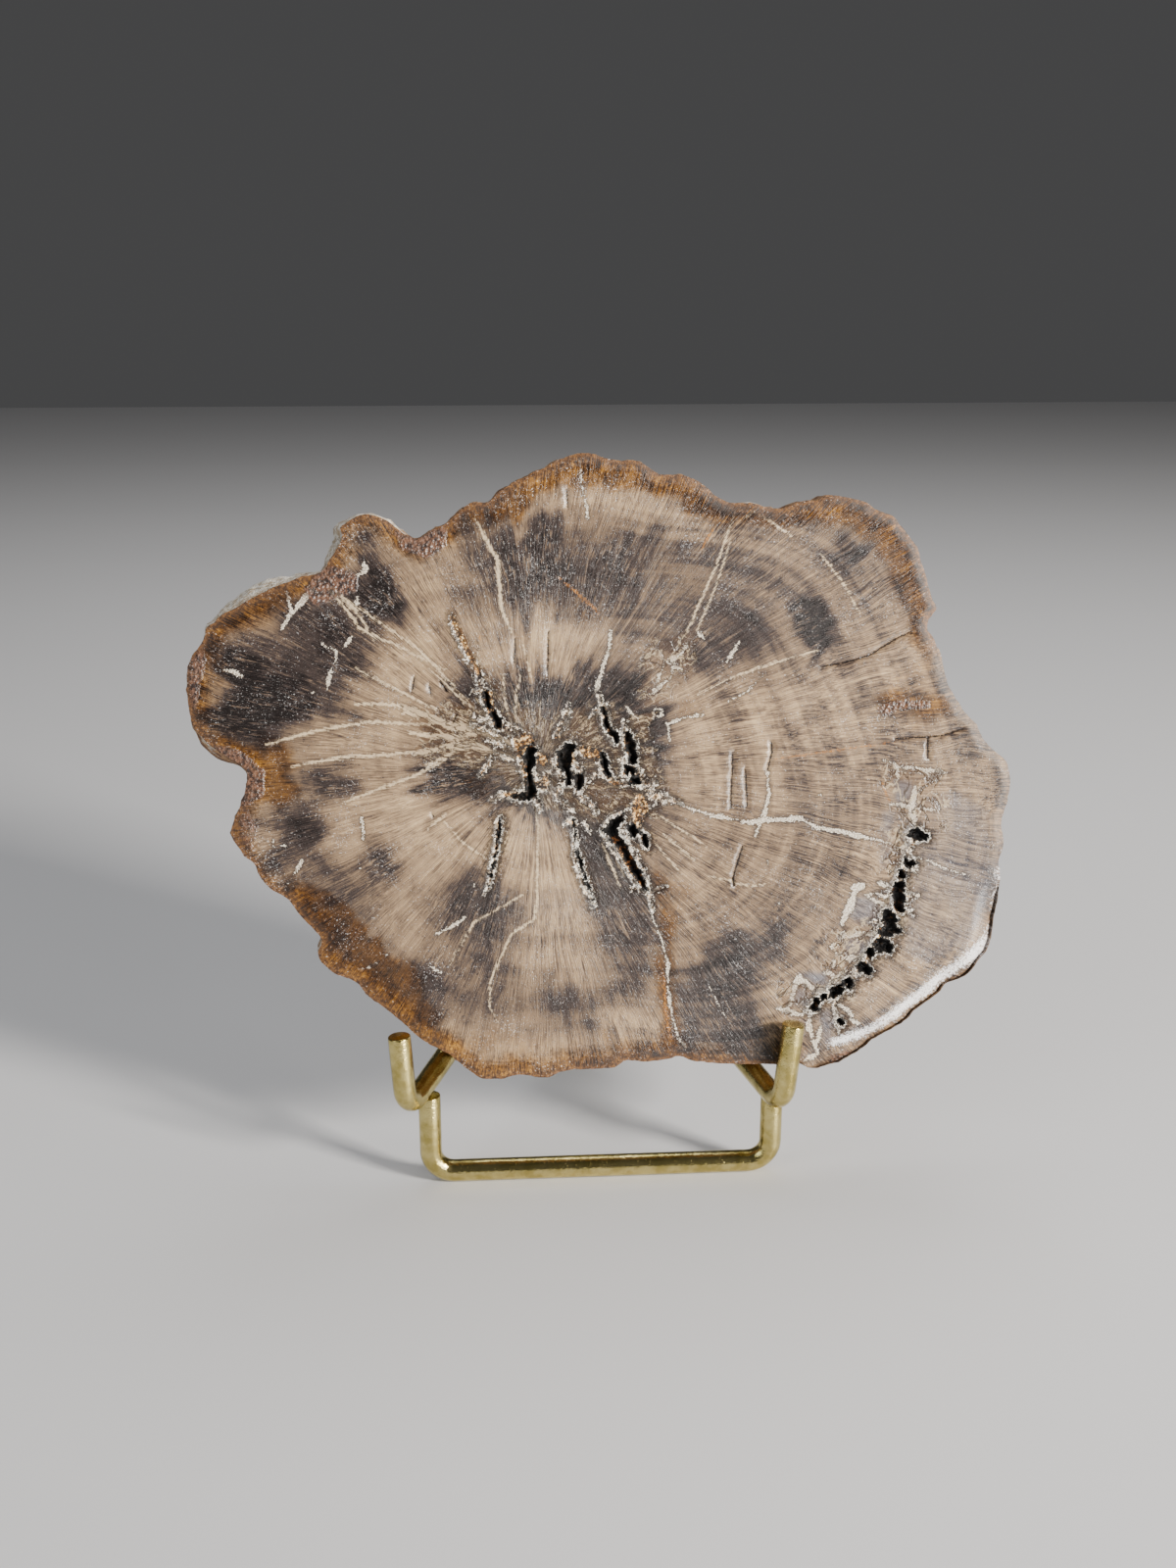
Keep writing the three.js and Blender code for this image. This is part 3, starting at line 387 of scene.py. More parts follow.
CRUSTS = [
    (1.4, [(-28.5, 95.6), (-27.6, 93), (-26.2, 90), (-24.8, 87), (-22.9, 84.1)]),
    (0.9, [(-12.8, 64.8), (-11.6, 63.8), (-10.4, 63.4), (-10, 62.2)]),
    (0.9, [(-24.4, 76), (-22, 75.4), (-20.6, 74.2)]), (1, [(-18.6, 75), (-17.4, 74), (-15.6, 73.6)]),
    (1.3, [(8.6, 61.2), (11, 60.4), (14, 59.2), (16.4, 58.2)]),
    (1, [(8.6, 62.6), (10, 61.8), (11.6, 62.4)]), (1.4, [(-7.8, 66), (-7.7, 64), (-6.8, 62.6)]),
    (0.8, [(-9.2, 67.2), (-8.6, 66.4), (-9.4, 66), (-9.2, 67.2)]),
    (0.8, [(4.2, 66.6), (5, 67.2), (5.4, 66.2)]), (0.7, [(-2.4, 62.6), (0.2, 64.2), (1.2, 63.4)]),
    (0.8, [(9.8, 60), (12, 58.4), (11, 57.6)]),
    (2, [(-23.5, 84), (-22.5, 81), (-21.8, 79), (-20.5, 76), (-19.5, 74)]),
    (1.2, [(-24.6, 81), (-21, 80.8)]), (2.2, [(-20.5, 75), (-18, 73.5), (-16.5, 72.6)]),
    (5, [(-14.9, 70.4), (-13.4, 71.2)]), (3, [(-11.2, 67.8), (-10.6, 66.8)]),
    (1.4, [(-16.5, 71.5), (-15.2, 67), (-14.6, 64), (-14.2, 61.5)]),
    (1.5, [(-21.5, 59.4), (-19.5, 60.3), (-17.5, 60.4), (-15, 61)]),
    (1.3, [(-13, 61), (-12.4, 59.5), (-11.6, 57.6), (-12.2, 57)]),
    (2.6, [(-12.6, 62.8), (-10.8, 62), (-10.2, 64.5)]),
    (1.6, [(-5.6, 78), (-6, 76), (-7, 74), (-8.5, 71.5)]),
    (1.2, [(-5, 70), (-7, 68.8), (-8, 66), (-7.5, 63.5), (-6.4, 62.3)]),
    (1.4, [(-4.8, 69.5), (-4.8, 66.4), (-3.2, 64.8), (-3, 62.5), (-4.3, 60.9)]),
    (2.4, [(-4, 69.4), (-2.5, 68.5), (-1, 68), (0.6, 68.2)]),
    (1.5, [(0.2, 80), (1.2, 78), (1.6, 75.5), (2, 73), (3.5, 71.5)]), (0.9, [(-1.3, 76), (0.3, 77)]),
    (1.4, [(5.5, 74.5), (5.4, 72), (5.9, 69), (7, 66.5)]),
    (1.5, [(0.5, 66.5), (1.5, 64), (3, 62.6), (5, 62), (6.5, 62.2)]),
    (2, [(5, 64), (7, 65), (9, 63), (10.5, 61.5)]), (2, [(10.5, 59.5), (12.5, 59), (14.3, 59.2)]),
    (1.1, [(11.2, 61.8), (11.6, 62.8)]), (4.2, [(8.4, 59), (8, 55.4)]),
    (0.9, [(8, 53.5), (8.6, 51.5), (9.6, 49.4)]),
    (0.5, [(5.2, 56.7), (2.5, 55.7), (0.3, 53), (1.9, 50), (4.2, 46.6), (6.2, 43.4), (8.4, 40.6),
           (10.2, 39.2)]),
    (0.6, [(4.6, 53.4), (6.9, 49), (9.4, 44), (10.4, 40.6)]), (1, [(6, 41.2), (8, 41), (9.4, 40)]),
    (1, [(10, 39.6), (10.2, 38.5), (10.6, 36.5)]), (0.7, [(10.2, 40.4), (12, 40.8), (13, 41.4)]),
    (1.1, [(-6.8, 54.4), (-5.2, 55), (-4.6, 53.5)]),
    (0.6, [(-5, 52), (-5.1, 48), (-4.3, 45), (-3, 41.5), (-1, 38)]),
    (0.9, [(-18.6, 55.8), (-19.9, 55.6), (-20.2, 53), (-20.6, 50), (-21.2, 46), (-22, 42), (-23, 40.5)]),
    (1, [(-8.3, 60), (-7, 58.5), (-5, 57)]), (1.5, [(-7.9, 61.5), (-7.6, 61.2)]),
    (1.2, [(-4.5, 60.5), (-2.5, 59), (-1.2, 58), (-0.4, 56.5)]), (0.5, [(-3, 55), (-1.7, 52.5)]),
    (0.8, [(-25, 74.6), (-21.6, 73.4), (-18.6, 71.6)]), (0.8, [(-22, 71.6), (-18.5, 70), (-16.5, 69)]),
    (0.7, [(-20.4, 68.8), (-17, 67.2)]), (1, [(-21, 68), (-22.8, 65), (-23.4, 64.4)]),
    (1.4, [(61.6, 44), (61, 41), (60.6, 38), (60, 35)]),
    (1.4, [(59.6, 34.6), (58.4, 32.6), (57, 30.4), (55.4, 28.6)]),
    (1.2, [(55.4, 28), (53.4, 24.6), (51, 22.4)]),
    (1.2, [(50.6, 21.6), (48.6, 20), (46.4, 18.6), (43.6, 17)]),
    (1.2, [(63.2, 51.6), (64, 50.4), (62.4, 47)]), (0.6, [(60.6, 39.6), (57.6, 38.6), (56.4, 38.8)]),
    (0.6, [(61, 38), (64.6, 38.4)]), (0.6, [(59.6, 35), (62.6, 35.2), (63.6, 34.2)]),
    (0.6, [(57.6, 33), (54.8, 33.4)]), (0.6, [(61.8, 43), (64.4, 44.4)]), (0.7, [(53, 24), (55, 23)]),
    (0.6, [(47.6, 18.4), (47.2, 15.2)]),
]
VEINS = {"crust": CRUSTS, "cream": CREAM_VEINS, "amber": AMBER_VEINS, "ray": PALE_RAYS,
         "crack": DARK_CRACKS}
print("veins:", {kind: len(veins) for kind, veins in VEINS.items()})

# %% [markdown]
# ## Points on the polished face
# A flat grid can't carry a hair-thin crack or the steep wall of a pocket, so the face is a net of
# triangles: a loose even field of points, with extra rows along each lip and vein, joined by a
# constrained triangulation that keeps those rows as edges.

# %% Nearest distances
FAR_OFF = 1e3
ROW_HEIGHT = 0.866


def nearest(points, line, closed, reach=None):
    """Distance from each point to a line, and how far along it that is, from 0 to 1.

    Points farther than the reach are left at a metre."""
    best, share = np.full(len(points), FAR_OFF), np.zeros(len(points))
    ends = np.roll(line, -1, 0) if closed else line[1:]
    starts = line if closed else line[:-1]
    near = np.ones(len(points), bool)
    if reach is not None:
        low, high = line.min(0) - reach, line.max(0) + reach
        near = np.all((points > low) & (points < high), axis=1)
    inside = points[near]
    if not len(inside):
        return best, share
    close, along = np.full(len(inside), FAR_OFF), np.zeros(len(inside))
    for i, (a, b) in enumerate(zip(starts, ends)):
        step = b - a
        t = np.clip(((inside - a) @ step) / max(step @ step, 1e-9), 0, 1)
        d = np.hypot(*(inside - a - t[:, None] * step).T)
        along = np.where(d < close, (i + t) / len(starts), along)
        close = np.minimum(close, d)
    best[near], share[near] = close, along
    return best, share


def within(points, line):
    """Whether each point is inside a closed line."""
    odd = np.zeros(len(points), bool)
    for a, b in zip(line, np.roll(line, -1, 0)):
        if a[1] == b[1]:
            continue
        spans = (a[1] > points[:, 1]) != (b[1] > points[:, 1])
        cross = a[0] + (points[:, 1] - a[1]) * (b[0] - a[0]) / (b[1] - a[1])
        odd ^= spans & (points[:, 0] < cross)
    return odd


def field(low, high, spacing, seed):
    """An even field of points, each moved a little."""
    rng = np.random.default_rng(seed)
    row = np.arange(low[0], high[0], spacing)
    heights = np.arange(low[1], high[1], spacing * ROW_HEIGHT)
    points = np.vstack([np.column_stack([row + (spacing / 2) * (i % 2), np.full(len(row), height)])
                        for i, height in enumerate(heights)])
    return points + rng.uniform(-0.16, 0.16, points.shape) * spacing


print("a field of 1 mm over a square centimetre has", len(field((0, 0), (10, 10), 1, 1)), "points")

# %% Rows along the veins
VEIN_SPACING = 0.55
STROKE_SHARE = {"crust": 0.85, "cream": 0.7, "amber": 0.8, "ray": 0.8, "crack": 0.9}

face_rows = []
for kind, veins in VEINS.items():
    for width, line in veins:
        path = evenly(np.array(line, float), VEIN_SPACING, False)
        if len(path) > 3:
            sway = 0.16 * bumpiness(path, 1.3, 2.0)
            path = path + sway[:, None] * 0.7
        face_rows.append((kind, width * STROKE_SHARE[kind], path))


def beside(path, offset):
    """The path moved to its side."""
    along = np.gradient(path, axis=0)
    across = np.stack([-along[:, 1], along[:, 0]], axis=1)
    return path + offset * across / np.maximum(np.hypot(*across.T), 1e-9)[:, None]


print("vein rows:", len(face_rows), "points", sum(len(path) for _, _, path in face_rows))

# %% Triangulate the face
LOW_CORNER, HIGH_CORNER = (-84, 0), (86, 130)
FACE_SPACING = 0.9
FINE_SPACING = 0.34


def triangulate(border, lines, loose):
    """Triangles inside the border that keep its edges and the lines' edges."""
    points, edges = [], []
    for line, closed in [(border, True)] + lines:
        first = len(points)
        points += [Vector(p) for p in line]
        count = len(line) if closed else len(line) - 1
        edges += [(first + i, first + (i + 1) % len(line)) for i in range(count)]
    points += [Vector(p) for p in loose]
    verts, _, faces, came_from, _, _ = delaunay_2d_cdt(points, edges, [], 0, 1e-5)
    flat = np.array([(v.x, v.y) for v in verts])
    faces = np.array([f for f in faces if len(f) == 3])
    middles = flat[faces].mean(axis=1)
    faces = faces[within(middles, border)]
    place = np.full(len(points), -1)
    for new, olds in enumerate(came_from):
        for old in olds:
            place[old] = new
    return flat, faces, place[:len(border)]


lines = [(lip, True) for lip in lips] + [(path, False) for _, _, path in face_rows]
even = field(LOW_CORNER, HIGH_CORNER, FACE_SPACING, 4)
rim_gap, _ = nearest(even, rim, True)
lip_gap = np.min([nearest(even, lip, True, 3)[0] for lip in lips], axis=0)
row_gap = np.min([nearest(even, path, False, 3)[0] for _, _, path in face_rows], axis=0)
loose = [even[within(even, rim) & (rim_gap > 0.8) & (lip_gap > 0.7) & (row_gap > 0.55)]]
for lip in lips:
    fine = field(lip.min(0) - 1.2, lip.max(0) + 1.2, FINE_SPACING, 6)
    gap, _ = nearest(fine, lip, True)
    loose.append(fine[(gap > 0.16) & (gap < 1.2) | (gap > 0.16) & within(fine, lip)])
for kind, width, path in face_rows:
    loose += [beside(path, side * (width / 2 + 0.45)) for side in (-1, 1)]
    if kind == "crust":
        fine = field(path.min(0) - width, path.max(0) + width, FINE_SPACING, 8)
        gap, _ = nearest(fine, path, False)
        loose.append(fine[(gap > 0.17) & (gap < width / 2 + 0.3)])
loose = np.vstack(loose)
keep = within(loose, rim) & (nearest(loose, rim, True)[0] > 0.35)
face_flat, face_faces, face_rim = triangulate(rim, lines, loose[keep])
print("face:", len(face_flat), "points,", len(face_faces), "triangles")

# %% [markdown]
# ## Relief of the face
# The face is ground flat and polished, so its relief is all in the breaks: pockets with steep walls
# and rough floors, hair cracks, a little rounding at the rim, and a wide worn slope along the lower
# right that catches the light.

# %% Distances on the face
FAR_LIP = 3.0
FAR_MARGIN = -1.5
WORN_RIM = np.array([(80.6, 34), (78.5, 26), (72, 20.5), (62.4, 13), (55, 9), (48, 4.4)])


def smoothly(low, high, value):
    """0 at low and 1 at high, smooth between."""
    t = np.clip((value - low) / (high - low), 0, 1)
    return t * t * (3 - 2 * t)


face_rim_gap, _ = nearest(face_flat, rim, True)
lip_distance = np.full(len(face_flat), FAR_LIP)
for lip in lips:
    gap, _ = nearest(face_flat, lip, True, FAR_LIP)
    signed = np.where(within(face_flat, lip), -gap, gap)
    lip_distance = np.where(np.abs(gap) < np.abs(lip_distance), signed, lip_distance)
margins = {kind: np.full(len(face_flat), FAR_MARGIN) for kind in VEINS}
for kind, width, path in face_rows:
    gap, share = nearest(face_flat, path, False, 2.5)
    taper = np.sqrt(np.clip(np.sin(np.pi * np.clip(share, 0.02, 0.98)), 0, 1))
    half = width / 2 * (0.35 + 0.65 * taper)
    margins[kind] = np.maximum(margins[kind], half - gap)
print("face points in a hollow:", int((lip_distance < -0.1).sum()))

# %% Depth of the face
RIM_EASING = 0.3
WORN_DROP = 1.3
HOLLOW_DEPTH = 2.1
CRACK_DEPTH = 0.45
CREAM_DEPTH = 0.06
CRUST_DEPTH = 0.28

rough = bumpiness(face_flat, 0.55, 1.0)
coarse = bumpiness(face_flat, 1.7, 4.0)
worn, _ = nearest(face_flat, WORN_RIM, False)
slope_share = smoothly(7.5, 3.5, worn)
face_depth = RIM_EASING * np.clip(1 - face_rim_gap / 0.7, 0, 1) ** 2
face_depth += slope_share * WORN_DROP * np.clip(1 - face_rim_gap / 4.6, 0, 1) ** 1.6
hollow = smoothly(0.0, 0.75, -lip_distance)
face_depth += hollow * (HOLLOW_DEPTH + 0.55 * coarse + 0.45 * rough)
crumbled = smoothly(0.9, 0.1, np.abs(lip_distance)) * (lip_distance > -0.05)
face_depth += crumbled * (0.12 + 0.16 * rough)
face_depth += CRACK_DEPTH * smoothly(-0.12, 0.16, margins["crack"]) * (face_rim_gap > 0.5)
face_depth += CREAM_DEPTH * smoothly(-0.1, 0.3, margins["cream"]) * (0.5 + rough)
face_depth += smoothly(-0.1, 0.35, margins["crust"]) * (1 - hollow) * (CRUST_DEPTH + 0.34 * rough)
print("deepest point", round(face_depth.max(), 2), "mm")

# %% [markdown]
# ## Rind and back
# The rind is the weathered bark side of the branch. It swells a little towards the back and is
# wrinkled along the grain. It is built as rings that follow the rim from the face to the back, and the
# back is closed with a second net of triangles.

# %% Rind rings
# Each bulge: u, v, its reach and how far it stands out. Each ring: its depth, its share of the swell
# and how far it is set in.
RIND_BULGES = [(-67, 100, 9, 2.3), (-51, 111, 5, 1.8), (-76, 70, 6, 1.8)]
RIND_RINGS = [
    (0.5, 0.02, 0), (1.1, 0.12, 0), (1.9, 0.26, 0), (2.8, 0.42, 0), (3.7, 0.55, 0), (4.7, 0.68, 0),
    (5.7, 0.8, 0), (6.7, 0.9, 0), (7.7, 0.97, 0), (8.7, 0.98, 0), (9.6, 0.94, 0), (10.4, 0.9, 0),
    (11.1, 0.87, 0.1), (11.6, 0.8, 0.35), (12, 0.7, 0.9),
]
EVEN_SWELL = 0.65

swell = np.full(len(rim), EVEN_SWELL)
for u, v, reach, out in RIND_BULGES:
    swell += out * np.exp(-((rim[:, 0] - u) ** 2 + (rim[:, 1] - v) ** 2) / reach ** 2)
rings = []
for depth, share, inset in RIND_RINGS:
    grain = bumpiness(rim, 1.3, depth / 5)
    pits = bumpiness(rim, 0.8, depth / 0.9 + 20)
    rough_share = min(1, depth / 1.5)
    out = share * swell - inset + rough_share * (0.34 * grain + 0.18 * pits)
    ring_depth = depth + 0.12 * pits * (depth < SLICE_THICKNESS)
    rings.append(np.column_stack([rim[:, 0] + rim_out[:, 0] * out, ring_depth,
                                  rim[:, 1] + rim_out[:, 1] * out]))
print("rind rings:", len(rings), "of", len(rim), "points")

# %% Back net
BACK_SPACING = 1.9

back_border = rings[-1][:, [0, 2]]
back_loose = field(LOW_CORNER, HIGH_CORNER, BACK_SPACING, 11)
back_gap, _ = nearest(back_loose, back_border, True)
back_loose = back_loose[within(back_loose, back_border) & (back_gap > 1.1)]
back_flat, back_faces, back_rim = triangulate(back_border, [], back_loose)
back_depth = SLICE_THICKNESS - 0.12 * (0.5 + 0.5 * bumpiness(back_flat, 3.0, 7.0))
print("back:", len(back_flat), "points,", len(back_faces), "triangles")

# %% [markdown]
# ## One closed mesh
# Face, rings and back share their border points, so the slice is one closed solid, as the real stone
# is. What the finish needs to know, such as the distance to a lip, is stored on the points.

# %% Join the slice
def facing(flat, faces, towards_viewer):
    """The triangles, all turned the same way."""
    a, b, c = flat[faces[:, 0]], flat[faces[:, 1]], flat[faces[:, 2]]
    turn = (b[:, 0] - a[:, 0]) * (c[:, 1] - a[:, 1]) - (b[:, 1] - a[:, 1]) * (c[:, 0] - a[:, 0])
    wrong = (turn > 0) != towards_viewer
    faces = faces.copy()
    faces[wrong] = faces[wrong][:, ::-1]
    return faces


middle_rings = rings[:-1]
parts = [np.column_stack([face_flat[:, 0], face_depth, face_flat[:, 1]])] + middle_rings
parts.append(np.column_stack([back_flat[:, 0], back_depth, back_flat[:, 1]]))
starts = np.cumsum([0] + [len(p) for p in parts])
body_points = np.vstack(parts)
ring_indices = [face_rim] + [starts[1 + i] + np.arange(len(rim)) for i in range(len(middle_rings))]
ring_indices.append(starts[-2] + back_rim)
triangles = [facing(face_flat, face_faces, True), facing(back_flat, back_faces, False) + starts[-2]]
for near_ring, far_ring in zip(ring_indices, ring_indices[1:]):
    a, b = near_ring, np.roll(near_ring, -1)
    c, d = far_ring, np.roll(far_ring, -1)
    triangles += [np.column_stack([a, b, c]), np.column_stack([b, d, c])]
triangles = np.vstack(triangles)

slab_mesh = bpy.data.meshes.new("petrified_wood")
slab_mesh.from_pydata(placed(*body_points.T).tolist(), [], triangles.tolist())
slab = bpy.data.objects.new("petrified_wood", slab_mesh)
bpy.context.scene.collection.objects.link(slab)


def edit(piece):
    """Opens a piece in edit mode with all of it selected."""
    deselect()
    piece.select_set(True)
    bpy.context.view_layer.objects.active = piece
    bpy.ops.object.mode_set(mode="EDIT")
    bpy.ops.mesh.select_all(action="SELECT")


edit(slab)
bpy.ops.mesh.normals_make_consistent(inside=False)
bpy.ops.object.mode_set(mode="OBJECT")
bpy.ops.object.shade_smooth_by_angle(angle=math.radians(38))
print("slab triangles:", len(slab_mesh.polygons))

# %% [markdown]
# ## Where the colours lie
# Stains and bleached zones have no edge that a stroke could follow. Each is drawn as a loose patch of
# corners with a strength, its edge is blurred over a few millimetres, and the finish later breaks the
# blur up with the grain, as the stain crept along the fibres.

# %% Dark and pale patches
DARK_PATCHES = [
    (0.45, [(-76, 90), (-66, 98), (-52, 103), (-44, 110), (-37, 108), (-36, 96), (-44, 88), (-46, 76),
            (-60, 71), (-74, 72)]),
    (1.1, [(-74, 86), (-66, 88.6), (-61, 84), (-61, 75), (-66, 71.6), (-74, 73.6)]),
    (0.4, [(-66, 96), (-56, 100), (-46, 97), (-45, 88), (-50, 79), (-60, 78), (-62, 88)]),
    (0.7, [(-48, 103), (-44, 108), (-40, 106), (-37, 98), (-39, 94), (-43, 95), (-46, 98)]),
    (0.5, [(-32, 106), (-24, 114), (-4, 116), (12, 113), (26, 108), (38, 99), (36, 86), (18, 83), (4, 90),
           (-8, 95), (-18, 93), (-28, 98)]),
    (0.4, [(-22, 111), (-15, 115), (-9, 112), (-9, 98), (-15, 96), (-20, 102)]),
    (0.3, [(-8, 112), (4, 111), (12, 106), (10, 98), (-2, 98), (-8, 100)]),
    (0.12, [(16, 98), (30, 100), (38, 95), (36, 86), (22, 83), (8, 84), (4, 90)]),
    (1.6, [(40.2, 94), (42.6, 97.5), (44.6, 95), (44, 89), (42, 85.6), (40, 88)]),
    (0.7, [(47, 108), (49, 111), (53, 110.6), (54, 106), (51, 103.6), (48, 105)]),
    (0.75, [(-36, 72), (-28, 84), (-16, 84), (0, 87), (10, 84), (14, 70), (13, 58), (2, 48), (-8, 54),
            (-20, 57), (-34, 60)]),
    (0.5, [(-15, 70), (-8, 76), (4, 78), (10, 70), (11, 60), (9, 50), (4, 46), (-4, 54), (-13, 59)]),
    (0.4, [(-37, 66), (-30, 70), (-22, 69), (-22, 63), (-28, 60), (-35, 61)]),
    (0.6, [(-60, 67), (-50, 69), (-46, 65), (-48, 60), (-55, 59), (-60, 62)]),
    (0.3, [(-68, 60), (-52, 60), (-40, 52), (-32, 46), (-20, 46), (-13, 36), (-16, 24), (-20, 12),
           (-34, 10), (-46, 22), (-62, 42)]),
    (0.6, [(-67, 56), (-61, 59), (-55, 57), (-54, 52), (-58, 48), (-66, 49)]),
    (0.35, [(-62, 47), (-54, 50), (-42, 50), (-39, 46), (-44, 41), (-54, 41)]),
    (0.3, [(-58, 42), (-50, 43), (-42, 40), (-40, 33), (-48, 29), (-56, 33)]),
    (0.5, [(-34, 43), (-28, 45), (-20, 42), (-14, 38), (-17, 32), (-26, 29), (-33, 33)]),
    (0.36, [(-43, 27), (-36, 29), (-25, 27), (-21, 20), (-26, 13), (-34, 14), (-41, 20)]),
    (0.3, [(-24, 28), (-14, 26), (-2, 24), (0, 14), (-10, 12), (-22, 14)]),
    (0.4, [(-13, 21), (-6, 22), (-1, 20), (-1, 14), (-7, 12), (-12, 14)]),
    (0.6, [(-4, 50), (4, 50), (11, 44), (13, 30), (11, 19), (1, 19), (-3, 34)]),
    (0.64, [(15, 24), (20, 27), (28, 31), (36, 34), (39, 26), (34, 17), (31, 7), (24, 6), (16, 8)]),
    (0.3, [(30, 38), (38, 40), (46, 36), (44, 28), (36, 28)]),
    (0.3, [(28, 113), (40, 115), (50, 111), (56, 102), (50, 94), (38, 98), (28, 103)]),
]
PALE_PATCHES = [
    (0.6, [(-44, 90), (-37, 96), (-30, 100), (-28, 94), (-30, 84), (-36, 80), (-44, 84)]),
    (0.9, [(-15, 94), (-8, 95), (-1, 94), (-1, 86), (-6, 84.5), (-14, 85)]),
    (0.5, [(7, 113), (12, 117), (17, 114), (15, 110), (9, 110)]),
    (1, [(-55, 55), (-50, 58), (-46, 55), (-45, 50), (-50, 48), (-54, 50)]),
    (0.85, [(-41, 50), (-36, 54), (-32, 50), (-29, 44), (-33, 36), (-38, 36), (-40, 43)]),
    (0.6, [(-20, 56), (-6, 56), (-4, 44), (-4, 37), (-12, 35), (-15, 42), (-21, 46)]),
    (0.5, [(12, 72), (20, 80), (32, 80), (45, 82), (58, 84), (56, 62), (45, 56), (30, 56), (18, 60)]),
    (0.75, [(-50, 66), (-40, 64), (-30, 58), (-24, 52), (-30, 47), (-42, 52), (-48, 58)]),
    (0.4, [(12, 52), (22, 52), (26, 44), (18, 38), (12, 42)]),
    (0.5, [(58, 90), (66, 92), (70, 84), (72, 76), (62, 72), (56, 78)]),
    (0.5, [(-34, 106), (-28, 110), (-25, 104), (-28, 98), (-34, 100)]),
    (0.4, [(-16, 36), (-8, 36), (-4, 30), (-8, 24), (-17, 25)]),
    (0.45, [(0, 21), (11, 21), (12, 12), (4, 10), (0, 13)]),
    (0.35, [(50, 56), (60, 52), (58, 44), (50, 42), (46, 50)]),
]
print("dark and pale patches:", len(DARK_PATCHES), len(PALE_PATCHES))

# %% Coloured patches
AMBER_PATCHES = [
    (0.75, [(-22, 116), (-14, 123), (-4, 127), (10, 126), (24, 119), (24, 114), (10, 120), (-4, 121.6),
            (-20, 112)]),
    (0.75, [(30, 116), (38, 118), (52, 120), (62, 115), (67, 104), (63, 104), (58, 111), (48, 114.6),
            (30, 112.6)]),
    (0.8, [(60, 112), (66, 108), (69, 98), (68, 90), (63, 92), (60, 102)]),
    (0.7, [(56, 79), (66, 80), (72, 78), (70, 74), (58, 75)]),
    (0.7, [(12.6, 48), (14.4, 40), (15.4, 26), (16.4, 10), (11.6, 9), (12.4, 24), (11, 40)]),
    (0.9, [(-59, 44), (-54, 42), (-46, 34), (-40, 24), (-32, 16), (-34, 12), (-44, 16), (-56, 27)]),
    (0.7, [(-67, 74), (-60, 72), (-58, 62), (-62, 58), (-68, 62)]),
    (1, [(-25, 67), (-22, 67), (-21.6, 62), (-23, 59.4), (-25, 62)]),
    (0.8, [(-14, 75), (-10, 74), (-10, 70.6), (-13, 71)]),
    (1, [(-9.4, 72.4), (-5.4, 72.4), (-5.4, 70), (-9, 70)]),
    (0.7, [(-20, 71), (-16, 71), (-16, 68), (-19, 68)]), (0.6, [(-4, 78), (-3, 77), (-4, 75), (-5, 76)]),
    (0.6, [(7.6, 72), (9, 71), (9, 68), (8, 66), (7.8, 69)]),
    (0.8, [(-77, 73), (-70, 72), (-63, 70), (-60, 63), (-64, 60), (-70, 61), (-69, 66), (-74, 70)]),
    (0.75, [(-62, 42), (-54, 41), (-47, 36), (-42, 30), (-36, 24), (-34, 16), (-38, 13), (-48, 22),
            (-56, 30), (-60, 38)]),
    (0.7, [(57, 115), (64, 108), (66, 100), (68, 95), (62, 93), (59, 99), (57, 106), (50, 113)]),
    (0.6, [(28, 118), (46, 120), (57, 116), (50, 112), (38, 112), (30, 113)]),
    (0.55, [(-72, 96), (-62, 101), (-56, 101), (-60, 97), (-68, 92)]),
    (0.5, [(-80, 82), (-78, 92), (-72, 96), (-71, 90), (-74, 80), (-74, 74), (-79, 76)]),
    (0.7, [(-26, 65.5), (-24, 61), (-20, 62.5), (-19.5, 67), (-23, 69)]),
    (0.35, [(-28, 14), (-10, 12), (0, 14), (12, 12), (14, 5), (-12, 3), (-28, 5)]),
    (0.6, [(11, 26), (13, 26), (15.6, 14), (17.5, 5.5), (10, 5), (12.5, 12)]),
    (0.4, [(13, 38), (17, 38), (18, 32), (14, 32)]), (0.35, [(12, 44), (20, 40), (20, 37), (12, 38)]),
    (0.5, [(-34, 112), (-20, 119), (-14, 123), (-12, 119), (-20, 114), (-32, 109)]),
    (0.45, [(2, 127), (18, 124), (28, 118), (25, 113), (14, 119), (2, 123)]),
    (0.4, [(-5, 105), (0, 97), (2, 94), (-2, 95), (-8, 102)]),
    (0.3, [(22, 113), (26, 117), (30, 113), (26, 106), (22, 104)]),
    (0.4, [(-3, 71.5), (2, 72), (1, 68), (-5, 67.5)]),
    (0.4, [(14, 77.5), (21, 77.8), (22, 75), (15, 74.5)]),
    (0.3, [(58, 84), (68, 88), (72, 76), (64, 70), (58, 74)]),
]
RUST_AND_SHADE_PATCHES = [
    (0.55, [(44, 3), (46, 6.6), (52, 7.6), (58, 10), (64, 14), (72, 20), (76, 21), (68, 12), (58, 6),
            (50, 2)]),
    # This patch lines the face under the lower left lobe: painted shade there, not rust.
    (1, [(-76, 71.5), (-70, 70), (-65.5, 66), (-66, 61), (-71, 59), (-70, 65), (-74, 69.5)]),
    (0.9, [(-57, 101.5), (-54, 105), (-51, 106), (-46.5, 104), (-46.5, 101), (-51, 99.5), (-55, 98)]),
    (0.95, [(-39.5, 113), (-36, 111.5), (-32, 112.5), (-29, 113), (-29, 109.5), (-33, 107), (-38, 109)]),
    (0.6, [(-80.5, 80), (-79.5, 88), (-77, 92), (-75.8, 88), (-77.5, 80), (-79, 76)]),
    (0.7, [(56, 76.5), (60, 78), (67, 77.8), (67, 76), (60, 75.6), (57, 74.4)]),
    (0.45, [(-72, 56), (-69, 60), (-66.5, 55), (-68, 50), (-71, 51)]),
]
